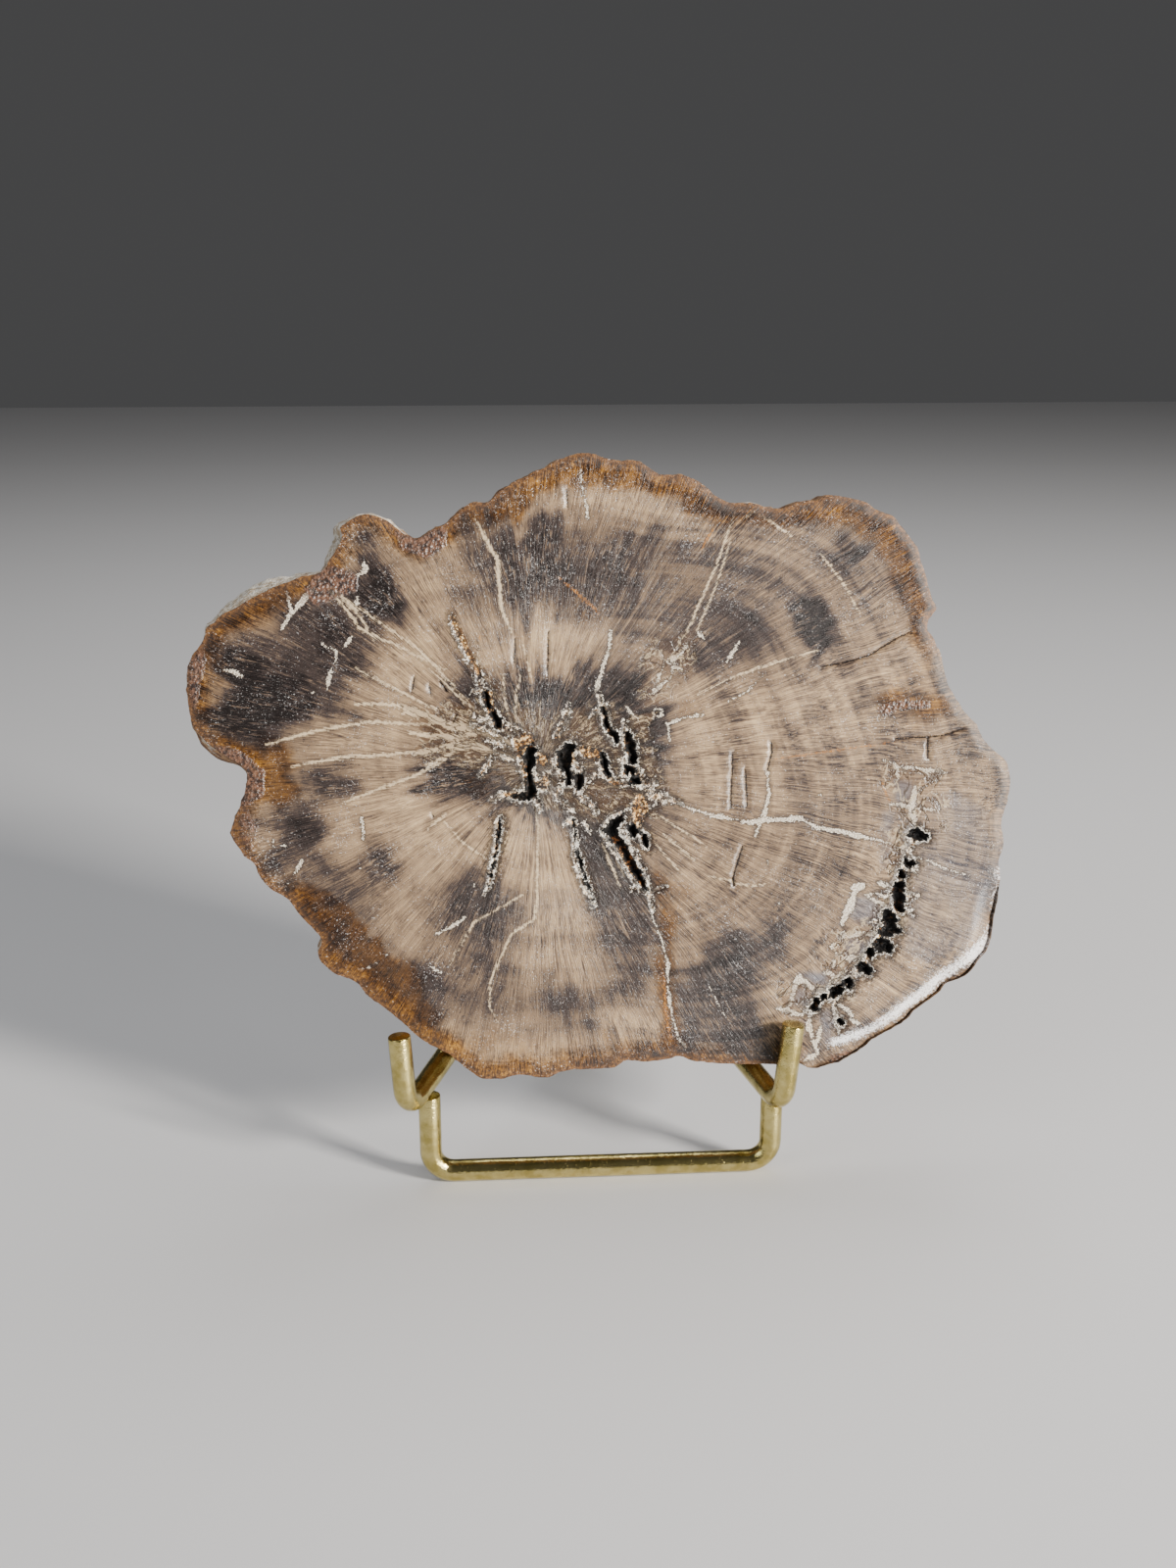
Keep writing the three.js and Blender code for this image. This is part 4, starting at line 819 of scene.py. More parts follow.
BLUE_PATCHES = [
    (1.1, [(59.5, 61.8), (63.5, 61.5), (63.6, 57.2), (60, 57)]),
    (0.9, [(51.6, 39), (56, 38.4), (58.8, 36), (57.5, 32.5), (53, 32), (50, 34.4)]),
    (1.2, [(48.6, 29.6), (52, 30.2), (55.2, 28.6), (52, 26.4), (49.8, 26.8)]),
    (1.3, [(39.6, 23), (42.4, 23.6), (46, 22.8), (45.4, 20), (43.5, 20.2), (41.4, 22)]),
    (1.2, [(38.4, 16.6), (39.6, 20.4), (42, 19.2), (42, 16.4)]),
    (0.8, [(43.6, 16), (47, 16), (47, 9), (44.4, 8)]),
    (0.7, [(56, 44), (59.4, 44), (59.4, 52), (61, 56), (57, 56)]),
    (0.55, [(62, 58), (72, 60), (79, 56), (80, 38), (74, 28), (66, 24), (61, 27), (62, 36), (63, 46)]),
]
OCHRE_PATCHES = [
    (1, [(-16.6, 72), (-14, 72.8), (-12, 71.8), (-12, 70), (-14, 69.4), (-15, 68), (-16.4, 67.6)]),
    (0.9, [(-12, 68.8), (-9.6, 69.2), (-9.2, 67), (-10, 65.6), (-12.2, 64.8)]),
    (0.9, [(-3.8, 69.6), (-2, 70.3), (0.4, 70.7), (1, 69), (0.2, 66.6), (-1.6, 66.8), (-3, 68)]),
    (1, [(7, 59.4), (8.6, 60.4), (9.8, 58.6), (10, 56.4), (9.4, 54.2), (8, 53.4), (6.4, 54.4), (6.8, 57)]),
    (1, [(2.6, 51.4), (4, 51.6), (6.2, 48.4), (8.6, 43.6), (8.4, 41.6), (6.6, 43.6), (4.4, 47.4)]),
    (0.9, [(-28.9, 95.8), (-27.8, 96), (-22.6, 84.4), (-23.6, 84)]),
    (0.8, [(-22.2, 81), (-20.4, 81), (-20, 76), (-21.6, 76)]),
    (0.6, [(-9, 72), (-6, 72.4), (-5, 70.8), (-8, 70.4)]),
    (0.7, [(-19, 61), (-17, 61), (-17, 60), (-19, 60)]),
    (0.7, [(23, 56), (31, 54.6), (31, 53.4), (23, 54.6)]),
    (0.7, [(1.8, 62.8), (4, 62.8), (6, 62), (2.4, 61.4)]),
    (0.6, [(-9, 61.6), (-7.8, 61.6), (-7.8, 60), (-9, 60.2)]),
]
CRAZED_PATCHES = [
    (1, [(-36, 79), (-26, 80), (-20, 78), (-14, 77), (-6, 76), (2, 78), (8, 76), (10, 70), (14, 62),
         (12, 56), (8, 52), (0, 53), (-6, 56), (-14, 58), (-18, 61), (-22, 66), (-30, 67), (-37, 69)]),
    (0.6, [(8, 92), (20, 92), (22, 84), (14, 76), (8, 78)]),
    (0.7, [(-27, 92), (-22, 88), (-16, 80), (-22, 78)]),
    (0.8, [(56, 66), (70, 65), (68, 54), (66, 48), (63, 38), (58, 26), (50, 17), (40, 12), (36, 17),
           (44, 23), (50, 32), (56, 40), (59, 50)]),
]
# Painted highlight: the worn strip along the lower right, painted near white as the glint on its bevel.
WORN_GLINT_PATCHES = [
    (1, [(79.8, 31.4), (77, 29), (74, 26.2), (70, 23.6), (66, 20.6), (62, 17.6), (58, 14.6), (54, 12.2),
         (50, 10.8), (46, 9.4), (46, 7.8), (50, 8.6), (54, 9.8), (58, 11.8), (62, 14.8), (66, 17.4),
         (70, 20.2), (74, 23.2), (77, 24.6), (80, 27.6)]),
    (0.5, [(80, 44), (82, 44), (82.4, 34), (80, 29), (77, 28), (79, 34)]),
]
print("coloured patches:", sum(len(p) for p in (AMBER_PATCHES, RUST_AND_SHADE_PATCHES, BLUE_PATCHES, OCHRE_PATCHES)))


# %% Blurred patches
def crept(flat):
    """The points as the stain saw them: moved along the fibres, and a little to the side."""
    way = (flat - PITH) / np.maximum(np.hypot(*(flat - PITH).T), 1)[:, None]
    along = 4.5 * bumpiness(way * 9, 1, 2) + np.array([
        4 * noise.noise(Vector((w[0] * 24, w[1] * 24, 6 + p[0] / 60))) for w, p in zip(way, flat)])
    aside = 2.2 * bumpiness(flat, 7, 3)
    return flat + way * along[:, None] + way[:, ::-1] * [-1, 1] * aside[:, None]


def stain(patches, flat, blur):
    """How strongly the patches cover each point, with their edges blurred."""
    amount = np.zeros(len(flat))
    for strength, corners in patches:
        edge = np.array(corners, float)
        gap, _ = nearest(flat, edge, True, blur * 1.5)
        inside = np.where(within(flat, edge), gap, -gap)
        amount = 1 - (1 - amount) * (1 - strength * smoothly(-blur, blur, inside))
    return amount


square = [(0, 0), (9, 0), (9, 9), (0, 9)]
print("a square's edge, blurred by 2 mm, stains", stain([(1, square)], np.array([[0.0, 4.0]]), 2))

# %% [markdown]
# ## What the finish needs to know
# Distances and patches are worked out once for every point of the mesh and stored on it as named
# attributes. The growth rings follow the rim as they did in the tree, so each point also gets its
# share of the way from the pith to the rim.

# %% Growth rings
FAN_STEP = 4

spokes = rim - PITH
spoke_angles = np.degrees(np.arctan2(spokes[:, 1], spokes[:, 0]))
fan = np.arange(-180, 180, FAN_STEP)
reach = []
for middle in fan:
    near_spokes = np.abs((spoke_angles - middle + 180) % 360 - 180) < FAN_STEP
    reach.append(np.hypot(*spokes[near_spokes].T).max())
reach = sum(np.roll(reach, k) for k in range(-3, 4)) / 7
body_flat = body_points[:, [0, 2]]
from_pith = body_flat - PITH
angle = np.degrees(np.arctan2(from_pith[:, 1], from_pith[:, 0]))
ring_share = np.hypot(*from_pith.T) / np.interp(angle, np.append(fan, 180), np.append(reach, reach[0]))
print("from the pith to the rim:", reach.min().round(1), "to", reach.max().round(1), "mm")

# %% Store them on the points
DEEPEST_RIM_GAP = 14
GREY_RIM = np.array([(71, 82), (78, 70), (83, 62), (81.5, 42), (78, 25), (62, 13), (45, 4)], float)
WHITE_RIND = np.array([(-72, 97), (-64, 101.5), (-51, 108), (-50, 113), (-44, 116)], float)

is_side, is_back, body_rim_gap = np.zeros((3, len(body_points)))
is_side[starts[1]:starts[-2]] = 1
is_back[starts[-2]:] = 1
body_rim_gap[:starts[1]] = face_rim_gap
body_rim_gap[starts[-2]:] = nearest(back_flat, back_border, True)[0]


def whole(values, elsewhere):
    """Values of the face, with one value for the rest of the slice."""
    return np.concatenate([values, np.full(len(body_points) - len(values), elsewhere)])


crept_flat = crept(body_flat)
STORED = {
    "side": is_side, "back": is_back, "rim_gap": np.minimum(body_rim_gap, DEEPEST_RIM_GAP),
    "ring": ring_share, "lip": whole(lip_distance, FAR_LIP), "hollow_depth": whole(hollow, 0.0),
    "dark": stain(DARK_PATCHES, crept_flat, 4),
    "pale": stain(PALE_PATCHES, crept_flat, 3.5),
    "amber": stain(AMBER_PATCHES, (body_flat + crept_flat) / 2, 2.2),
    "rust": stain(RUST_AND_SHADE_PATCHES, body_flat, 1.2),
    "blue": stain(BLUE_PATCHES, body_flat, 1.4),
    "ochre": stain(OCHRE_PATCHES, body_flat, 0.5),
    "crazed": stain(CRAZED_PATCHES, crept_flat, 2.5),
    "worn": stain(WORN_GLINT_PATCHES, body_flat, 0.9),
    "grey_rim": smoothly(8, 4, nearest(body_flat, GREY_RIM, False)[0]),
    "white_rind": smoothly(9, 4, nearest(body_flat, WHITE_RIND, False)[0]),
}
for kind, margin in margins.items():
    STORED["amber_vein" if kind == "amber" else kind] = whole(np.maximum(margin, FAR_MARGIN), FAR_MARGIN)
for name, values in STORED.items():
    layer = slab_mesh.attributes.new(name, "FLOAT", "POINT")
    layer.data.foreach_set("value", values.astype(np.float32))
print("stored:", sorted(STORED))

# %% [markdown]
# ## Writing a finish as a sum
# A finish is a tree of small nodes. Wrapping a socket in a class lets the tree be written like the
# formula that it is, so `1 - mask` adds the Math node by itself.

# %% Shader values
class Flow:
    """A socket in the finish that is being made, used like a number."""

    tree = None

    def __init__(self, socket):
        self.socket = socket

    @classmethod
    def node(cls, kind, settings=None, values=None, out=0):
        made = cls.tree.nodes.new(kind)
        for name, value in (settings or {}).items():
            if name == "stops":
                stops = made.color_ramp
                while len(stops.elements) < len(value):
                    stops.elements.new(0.5)
                for stop, (place, colour) in zip(stops.elements, value):
                    stop.position, stop.color = place, (*colour, 1)
            else:
                setattr(made, name, value)
        for key, value in (values or {}).items():
            if isinstance(value, Flow):
                cls.tree.links.new(value.socket, made.inputs[key])
            else:
                made.inputs[key].default_value = value
        return cls(made.outputs[out])

    def maths(self, operation, other=None):
        values = {0: self} if other is None else {0: self, 1: other}
        return Flow.node("ShaderNodeMath", {"operation": operation}, values)

    def __add__(self, other):
        return self.maths("ADD", other)

    __radd__ = __add__

    def __mul__(self, other):
        return self.maths("MULTIPLY", other)

    __rmul__ = __mul__

    def __sub__(self, other):
        return self.maths("SUBTRACT", other)

    def __rsub__(self, other):
        return Flow.node("ShaderNodeMath", {"operation": "SUBTRACT"}, {0: other, 1: self})

    def __truediv__(self, other):
        return self.maths("DIVIDE", other)

    def __pow__(self, other):
        return self.maths("POWER", other)

    def most(self, other):
        return self.maths("MAXIMUM", other)

    def least(self, other):
        return self.maths("MINIMUM", other)

    def swing(self, amount):
        """The value's lean away from its middle, by an amount."""
        return (self - 0.5) * amount

    def step(self, low, high):
        """0 at low, 1 at high, smooth between."""
        return Flow.node("ShaderNodeMapRange", {"interpolation_type": "SMOOTHSTEP"},
                         {"Value": self, "From Min": low, "From Max": high})


def stored(name):
    """A value that was stored on the mesh's points."""
    return Flow.node("ShaderNodeAttribute", {"attribute_name": name}, out="Fac")


def blend(amount, under, over):
    """One colour laid over another by an amount from 0 to 1."""
    return Flow.node("ShaderNodeMix", {"data_type": "RGBA"}, {0: amount, 6: under, 7: over}, out=2)


def tint(red, green, blue):
    """A paint-box colour, 0 to 255, as light."""
    light = [c / 255 / 12.92 if c / 255 <= 0.04045 else ((c / 255 + 0.055) / 1.055) ** 2.4
             for c in (red, green, blue)]
    return (*light, 1)


def ramp(amount, stops):
    """The colour at an amount from 0 to 1, between stops that are a place and a paint-box colour."""
    stops = [(place, tint(*colour)[:3]) for place, colour in stops]
    return Flow.node("ShaderNodeValToRGB", {"stops": stops}, {"Fac": amount})


def cloud(where, scale, detail=2, roughness=0.5, distortion=0):
    """Noise round 0.5 that changes over about 1 / scale."""
    return Flow.node("ShaderNodeTexNoise", {}, {"Vector": where, "Scale": scale, "Detail": detail,
                                               "Roughness": roughness, "Distortion": distortion})


def joined(x, y, z):
    """Three values as one place."""
    return Flow.node("ShaderNodeCombineXYZ", {}, {0: x, 1: y, 2: z})


def place_in_mm():
    """The place on the piece in millimetres."""
    here = Flow.node("ShaderNodeTexCoord", out="Object")
    return Flow.node("ShaderNodeVectorMath", {"operation": "SCALE"}, {0: here, "Scale": 1 / MM})


def finish(name):
    """A new finish, ready for its nodes. Gives it and its Principled shader."""
    made = bpy.data.materials.new(name)
    made.use_nodes = True
    Flow.tree = made.node_tree
    return made, made.node_tree.nodes["Principled BSDF"]


def feed(shader, socket, flow):
    Flow.tree.links.new(flow.socket, shader.inputs[socket])


print("paint-box grey 128 is", [round(c, 3) for c in tint(128, 128, 128)])

# %% [markdown]
# ## Grain of the stone
# The grain of petrified wood is the grain of the tree: fine rays run out from the pith and growth
# rings cross them. The place on the face is turned into a direction from the pith and a distance, and
# noise read in those two gives long streaks. Farther out the same streaks need more spokes to the
# turn, so three fans are blended by distance.

# %% Place on the face
stone, stone_shader = finish("petrified_wood")
in_mm = place_in_mm()
apart = Flow.node("ShaderNodeSeparateXYZ", {}, {0: in_mm}).socket.node
x, y, z = (Flow(apart.outputs[i]) for i in range(3))
u = x - SLICE_SEAT.x
v = (y - SLICE_SEAT.y) * math.sin(SLICE_LEAN) + (z - SLICE_SEAT.z) * math.cos(SLICE_LEAN)
in_depth = (y - SLICE_SEAT.y) * math.cos(SLICE_LEAN) - (z - SLICE_SEAT.z) * math.sin(SLICE_LEAN)
on_face = joined(u, v, in_depth * 0.15)
du, dv = u - PITH[0], v - PITH[1]
from_centre = (du * du + dv * dv + 0.01) ** 0.5
across_u = du / from_centre + cloud(on_face, 0.045, 2).swing(0.07)
across_v = dv / from_centre + cloud(joined(v, u, 7.0), 0.05, 2).swing(0.07)
print("place nodes:", len(Flow.tree.nodes))


# %% Rays and rings
def rays(spokes, length, seed, detail=3):
    """Noise in long streaks: so many to a turn, so long in millimetres."""
    way = joined(across_u * spokes, across_v * spokes, from_centre * (1 / length) + seed)
    return cloud(way, 1.0, detail, 0.62)


def growth_bands(around, across, seed=0):
    """Noise in bands along the growth rings, so many from the pith to the rim."""
    way = joined(across_u * around, across_v * around, stored("ring") * across + seed)
    return cloud(way, 1.0, 2).step(0.35, 0.65)


near_share = from_centre.step(30, 16)
far_share = from_centre.step(40, 58)
middle_share = (1 - near_share) * (1 - far_share)
flecks = (rays(46, 1.8, 1.0, 2) * near_share + rays(100, 2.2, 11.0, 2) * middle_share
          + rays(170, 2.4, 23.0, 2) * far_share).step(0.33, 0.67)
streaks = (rays(100, 12.0, 81.0, 2) * near_share + rays(220, 15.0, 91.0, 2) * middle_share
           + rays(330, 16.0, 97.0, 2) * far_share).step(0.33, 0.67)
broad_streaks = rays(10, 13.0, 31.0).step(0.3, 0.7)
middle_streaks = rays(30, 7.0, 61.0).step(0.3, 0.7)
hair = (rays(60, 12.0, 47.0, 2) * (1 - far_share) + rays(105, 12.0, 53.0, 2) * far_share).step(0.56, 0.72)
pores = rays(170, 0.75, 71.0, 1).step(0.6, 0.74)
ring_lines = growth_bands(1.6, 52)
ring_bands = growth_bands(1.1, 15, 5)
patches = cloud(on_face, 0.13, 4, 0.6)
broad_patches = cloud(on_face, 0.055, 3, 0.55)
edge_noise = cloud(on_face, 1.5, 3, 0.65) - 0.5
fine_noise = cloud(on_face, 3.6, 2, 0.6) - 0.5
print("grain nodes:", len(Flow.tree.nodes))

# %% [markdown]
# ## From grain to tone
# All the browns of the wood lie on one line, from nearly black to pale beige. So the parts of the
# grain are added up as one tone, and a colour ramp turns the tone into the brown. Each part leans the
# tone to the dark and the pale side of its middle, and the flecks show most where the wood is dark.

# %% Dark, pale and amber amounts
stained = stored("dark") + flecks.swing(0.35) + streaks.swing(0.25) + middle_streaks.swing(0.24) \
    + broad_streaks.swing(0.28) + patches.swing(0.85)
dark_amount = stained.step(0.05, 1.0)
pale_amount = (stored("pale") + middle_streaks.swing(0.3) + patches.swing(0.8)).step(0.15, 0.85)
amber_amount = (stored("amber") + patches.swing(1.2) + streaks.swing(0.1)).step(0.12, 0.8)
blue_amount = (stored("blue") + patches.swing(0.7) + edge_noise * 0.25).step(0.15, 1.15)
on_right = du.step(0, 45)
print("amount nodes:", len(Flow.tree.nodes))

# %% Tone of the wood
tone = 0.51 + pale_amount * 0.11 - dark_amount * 0.5
tone = tone + streaks.swing(0.3 + dark_amount * 0.06)
tone = tone + flecks.swing(0.13 - on_right * 0.06 + dark_amount * 0.36)
tone = tone + middle_streaks.swing(0.13) + broad_streaks.swing(0.1)
tone = tone + patches.swing(0.3) + broad_patches.swing(0.35)
tone = tone + hair * (0.1 + on_right * 0.07) - pores * (0.1 + dark_amount * 0.08)
tone = tone - on_right * 0.05 + ring_bands.swing(0.09 + on_right * 0.07)
tone = tone - (1 - ring_lines) * (0.03 + on_right * 0.08) + edge_noise * 0.12

WOOD_BROWNS = [(0, (24, 19, 18)), (0.22, (60, 51, 48)), (0.45, (124, 103, 82)), (0.65, (164, 139, 108)),
               (0.85, (196, 169, 131)), (1, (222, 200, 166))]
AMBER_BROWNS = [(0, (26, 14, 7)), (0.3, (70, 42, 13)), (0.6, (126, 84, 25)), (0.85, (174, 127, 48)),
                (1, (212, 176, 104))]
amber_tone = tone * 1.15 - 0.22 + edge_noise * 0.5 + cloud(on_face, 0.3, 3).swing(0.7)
wood = blend(amber_amount * 0.85, ramp(tone, WOOD_BROWNS), ramp(amber_tone, AMBER_BROWNS))
wood = blend(blue_amount * 0.85, wood, blend(streaks, tint(62, 63, 72), tint(110, 110, 117)))
print("tone nodes:", len(Flow.tree.nodes))

# %% [markdown]
# ## Veins in the finish
# A stored margin is how far a point lies inside a stroke. Noise is added to it before it becomes a
# mask, so that no vein keeps the clean edge of a pen. A wider, weaker mask of the same margin makes
# the dark seam beside the vein.

# %% Veins in the finish
ray_margin = stored("ray") + edge_noise * 1.6
ray_mark = (ray_margin + streaks.swing(0.4)).step(-0.15, 0.3)
ray_shadow = ray_margin.step(-0.8, -0.1) * (1 - ray_mark)
cream = stored("cream") + edge_noise * 1.5 + fine_noise * 0.9 + cloud(on_face, 0.3, 2).swing(1.3)
cream_mark = cream.step(0.04, 0.16)
cream_shadow = cream.step(-0.5, 0) * (1 - cream_mark)
cream_colour = blend(fine_noise.step(-0.12, 0.1), tint(138, 120, 96), tint(232, 222, 204))
amber_mark = (stored("amber_vein") + edge_noise * 2.4).step(-0.06, 0.3)
amber_colour = blend(streaks, tint(112, 68, 24), tint(176, 118, 52))
crack_mark = (stored("crack") + edge_noise * 1.1).step(-0.08, 0.05)
for mark, colour in ((ray_shadow * 0.3, tint(62, 50, 42)), (ray_mark * 0.8, tint(212, 190, 156)),
                     (cream_shadow * 0.65, tint(50, 43, 40)), (amber_mark * 0.75, amber_colour),
                     (cream_mark * 0.95, cream_colour), (crack_mark * 0.9, tint(30, 25, 24))):
    wood = blend(mark, wood, colour)
print("vein nodes:", len(Flow.tree.nodes))

# %% [markdown]
# ## Crazing
# Round the pith and along the arc of pits the wood is crazed with threads too fine to draw one by one.
# A noise crosses its own middle value along winding lines, so the distance from that value, cut off
# close to it, gives threads. One noise makes the dark ones and another the pale ones.

# %% Crazing
crazed = (stored("crazed") + patches.swing(1.2)).step(0.25, 0.9)


def threads(way_u, way_v, run, sharpness):
    """Thin winding lines, where a noise is near its middle value."""
    wander = cloud(joined(way_u, way_v, run), 1.0, 4, 0.62, 0.5)
    return (1 - (wander - 0.5).maths("ABSOLUTE") * sharpness).most(0) * crazed


dark_threads = threads(across_u * 9, across_v * 9, from_centre * 0.2, 30)
pale_threads = threads(across_v * 11, across_u * 11, from_centre * 0.24 + 40, 34)
wood = blend(pale_threads.step(0.05, 0.6) * 0.7, wood, tint(206, 186, 152))
wood = blend(dark_threads.step(0.05, 0.6) * 0.9, wood, tint(26, 20, 18))
wood = blend(crazed * 0.35, wood, tint(98, 72, 46))
print("crazing nodes:", len(Flow.tree.nodes))

# %% [markdown]
# ## Rim of the face
# Iron from outside stained the rim amber, with a thin dark line at the very edge, rusty crusts in the
# notches, and no amber on the worn right side. Under the lower left lobe the face edge is darkened with
# painted shade, and the worn strip along the lower right is painted near white as a painted highlight, the
# glint on its worn bevel.

# %% Rim
rim_gap = stored("rim_gap") + patches.swing(8) + edge_noise * 3
amber_rim = 1 - stored("grey_rim") * 0.8
rim_tone = tone * 1.3 - 0.3 + edge_noise * 0.9 + cloud(on_face, 0.35, 3).swing(0.9)
edge_line = (stored("rim_gap") + edge_noise * 2.4).step(1.1, 0.3)
rust_and_shade_amount = (stored("rust") + patches.swing(0.8) + edge_noise * 0.3).step(0.3, 0.6)
rust_and_shade_colour = blend(cloud(on_face, 0.9, 3, 0.7).step(0.4, 0.6), tint(34, 22, 20), tint(108, 74, 54))
# Mask of the painted highlight on the worn bevel.
worn_glint_mark = (stored("worn") + edge_noise * 1.6 + fine_noise * 2.4 + patches.swing(1.2)).step(0.3, 1.1)
wood = blend(rim_gap.step(5.4, 1.4) * amber_rim * 0.95, wood, ramp(rim_tone, AMBER_BROWNS))
wood = blend(edge_line * amber_rim * 0.85, wood,
             blend(edge_noise.step(-0.15, 0.15), tint(52, 32, 18), tint(124, 84, 44)))
# Rusty crusts in the notches, and painted shade under the lower left lobe.
wood = blend(rust_and_shade_amount * 0.85, wood, rust_and_shade_colour)
# The worn strip is painted near white: a painted highlight, the glint on the worn bevel.
wood = blend(worn_glint_mark * 0.85, wood, tint(252, 250, 250))
print("rim nodes:", len(Flow.tree.nodes))

# %% [markdown]
# ## Crystals and open pockets
# The pockets are lined with tiny crystals, white and grey to ochre, with black gaps between them. Their
# colour comes from a coarse and a fine noise, and the same noise lifts them in the bump, so the black gaps
# and the greys are partly painted shade. The wood round the pockets and the crusts is darkened with painted
# shade. The floors of the pockets are painted nearly black, their own dark colour with painted shade for
# their depth, with a few lumps that catch the light.

# %% Where the crystals are
ragged = cloud(on_face, 0.75, 3, 0.62).swing(3.4)
lip = stored("lip") + ragged * 0.6 + edge_noise * 1.8 + fine_noise * 1.2
crust_edge = stored("crust") + ragged * 0.7 + edge_noise * 2.4 + fine_noise * 1.6
lining = lip.step(0.38, 0.26)
unbroken = cloud(on_face, 0.6, 2).step(0.4, 0.47) * 0.85 + 0.15
crust = crust_edge.step(0.0, 0.12).most(lining) * unbroken
in_crust = crust_edge.step(0.14, 0.4)
near_crust = (stored("crust") + edge_noise * 3).step(-1.3, -0.1)
# Painted shade: the wood beside the crusts and round the pocket lips is darkened as the shade they cast.
painted_shade_round_pockets = near_crust.most((lip + edge_noise * 2).step(2.2, 0.5)) * (1 - crust)
# Where the pocket floors lie; they get near-black paint that is partly painted shade for their depth.
shaded_hollow_mark = lip.step(0.14, 0.04).most((stored("hollow_depth") + edge_noise * 1.6).step(0.25, 0.45))
print("crystal nodes:", len(Flow.tree.nodes))

# %% Crystals
# The crystal ramps run from black gaps through grey to white, keyed to the same noise that lifts the
# crystals in the bump: their own white, grey and ochre, with painted shade in the gaps and the greys.
CRYSTAL_GREYS = [(0, (20, 16, 16)), (0.45, (30, 25, 24)), (0.49, (98, 82, 68)), (0.52, (186, 168, 142)),
                 (0.56, (252, 246, 234))]
CRYSTAL_OCHRES = [(0, (20, 12, 8)), (0.43, (44, 26, 13)), (0.48, (116, 76, 32)), (0.53, (190, 140, 74)),
                  (0.6, (242, 214, 166))]
lumps = cloud(on_face, 0.75, 3, 0.72)
grit = cloud(on_face, 2.0, 2, 0.7)
mixed_lumps = lumps * 0.55 + grit * 0.45
greys = ramp(mixed_lumps.swing(1.3) + 0.565 - in_crust * 0.11, CRYSTAL_GREYS)
ochres = ramp(mixed_lumps.swing(1.3) + 0.48, CRYSTAL_OCHRES)
stray_ochre = (cloud(on_face, 0.45, 2).step(0.5, 0.6) * 0.5 + 0.25) * in_crust
ochre_amount = (stored("ochre") + edge_noise * 0.5).step(0.3, 0.6).most(stray_ochre)
floor_lumps = (lumps * 0.7 + grit * 0.3).step(0.53, 0.62)
# The floors' own dark colour, made near black as painted shade for the depth, with paler lumps.
pocket_floor_colour_and_shade = blend(floor_lumps * (0.35 + ochre_amount * 0.5), tint(13, 10, 9),
                     blend(ochre_amount, tint(104, 84, 66), tint(168, 104, 48)))
# Painted shade round the pockets and the crusts.
wood = blend(painted_shade_round_pockets * 0.82, wood, tint(36, 29, 25))
wood = blend(crust * 0.97, wood, blend(ochre_amount, greys, ochres))
# Pocket floors: their own dark colour and painted shade.
wood = blend(shaded_hollow_mark, wood, pocket_floor_colour_and_shade)
print("stone colour nodes:", len(Flow.tree.nodes))

# %% [markdown]
# ## Rind, gloss and relief
# The bark side is brown and matt, with a chalky weathered skin in places, most of all on the upper
# left lobes. The face is polished, so its gloss is high and is broken only by crystals, rust and the
# rim. The bump is weak on the face and strong on the crystals and the bark.

# %% Rind
side = stored("side")
rind_noise = cloud(in_mm, 0.5, 4, 0.65)
skin = (cloud(in_mm, 0.16, 4, 0.65) + stored("white_rind") * 0.24).step(0.53, 0.66)
skin_colour = blend(cloud(in_mm, 0.9, 4, 0.7).step(0.42, 0.6), tint(226, 220, 208), tint(176, 156, 130))
rind_colour = blend(rind_noise.step(0.4, 0.62), tint(92, 62, 42), tint(164, 128, 92))
rind_colour = blend(skin, rind_colour, skin_colour)
rind_colour = blend(cloud(in_mm, 1.1, 4, 0.7).step(0.58, 0.72) * 0.8, rind_colour, tint(70, 50, 38))
feed(stone_shader, "Base Color", blend(side.step(0.3, 0.9), wood, rind_colour))
print("rind nodes:", len(Flow.tree.nodes))

# %% Gloss and relief
back = stored("back")
open_crust = (crust + stored("hollow_depth")).least(1.0)
gloss = 0.24 + open_crust * 0.35 + side * 0.55 + back * 0.3 + cream_mark * 0.2 + fine_noise * 0.15 \
    + dark_amount * 0.05 + rust_and_shade_amount * 0.1 + stored("rim_gap").step(3, 0.5) * 0.3 - worn_glint_mark * 0.2
feed(stone_shader, "Roughness", gloss.least(0.95))
sparkle = Flow.node("ShaderNodeTexVoronoi", {}, {"Vector": on_face, "Scale": 1.7}, out="Distance")
height = streaks * 0.05 + fine_noise * 0.06 - pores * 0.06
height = height + open_crust * (mixed_lumps * 2.2 + sparkle * 0.4)
height = height + side * (rind_noise * 1.4 + fine_noise * 0.5) + rust_and_shade_amount * sparkle * 0.8
height = height - crack_mark * 0.4 - dark_threads * 0.5 + cream_mark * (0.1 + edge_noise * 0.4)
relief = Flow.node("ShaderNodeBump", {}, {"Strength": 0.6, "Distance": 0.6 * MM, "Height": height})
feed(stone_shader, "Normal", relief)
slab_mesh.materials.append(stone)
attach(slab, "root")
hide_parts("petrified_wood_slice")
print("stone nodes:", len(Flow.tree.nodes))

# %% [markdown]
# ## Bending a wire
# The easel is one thickness of brass wire, cold bent. A wire is made as it is bent: a disc at its end
# is extruded along each straight and spun round each bend, so every bend is a true arc.

# %% Wire tool
WIRE_RADIUS = 2.25
WIRE_SIDES = 40
BEND_STEP = math.radians(6)


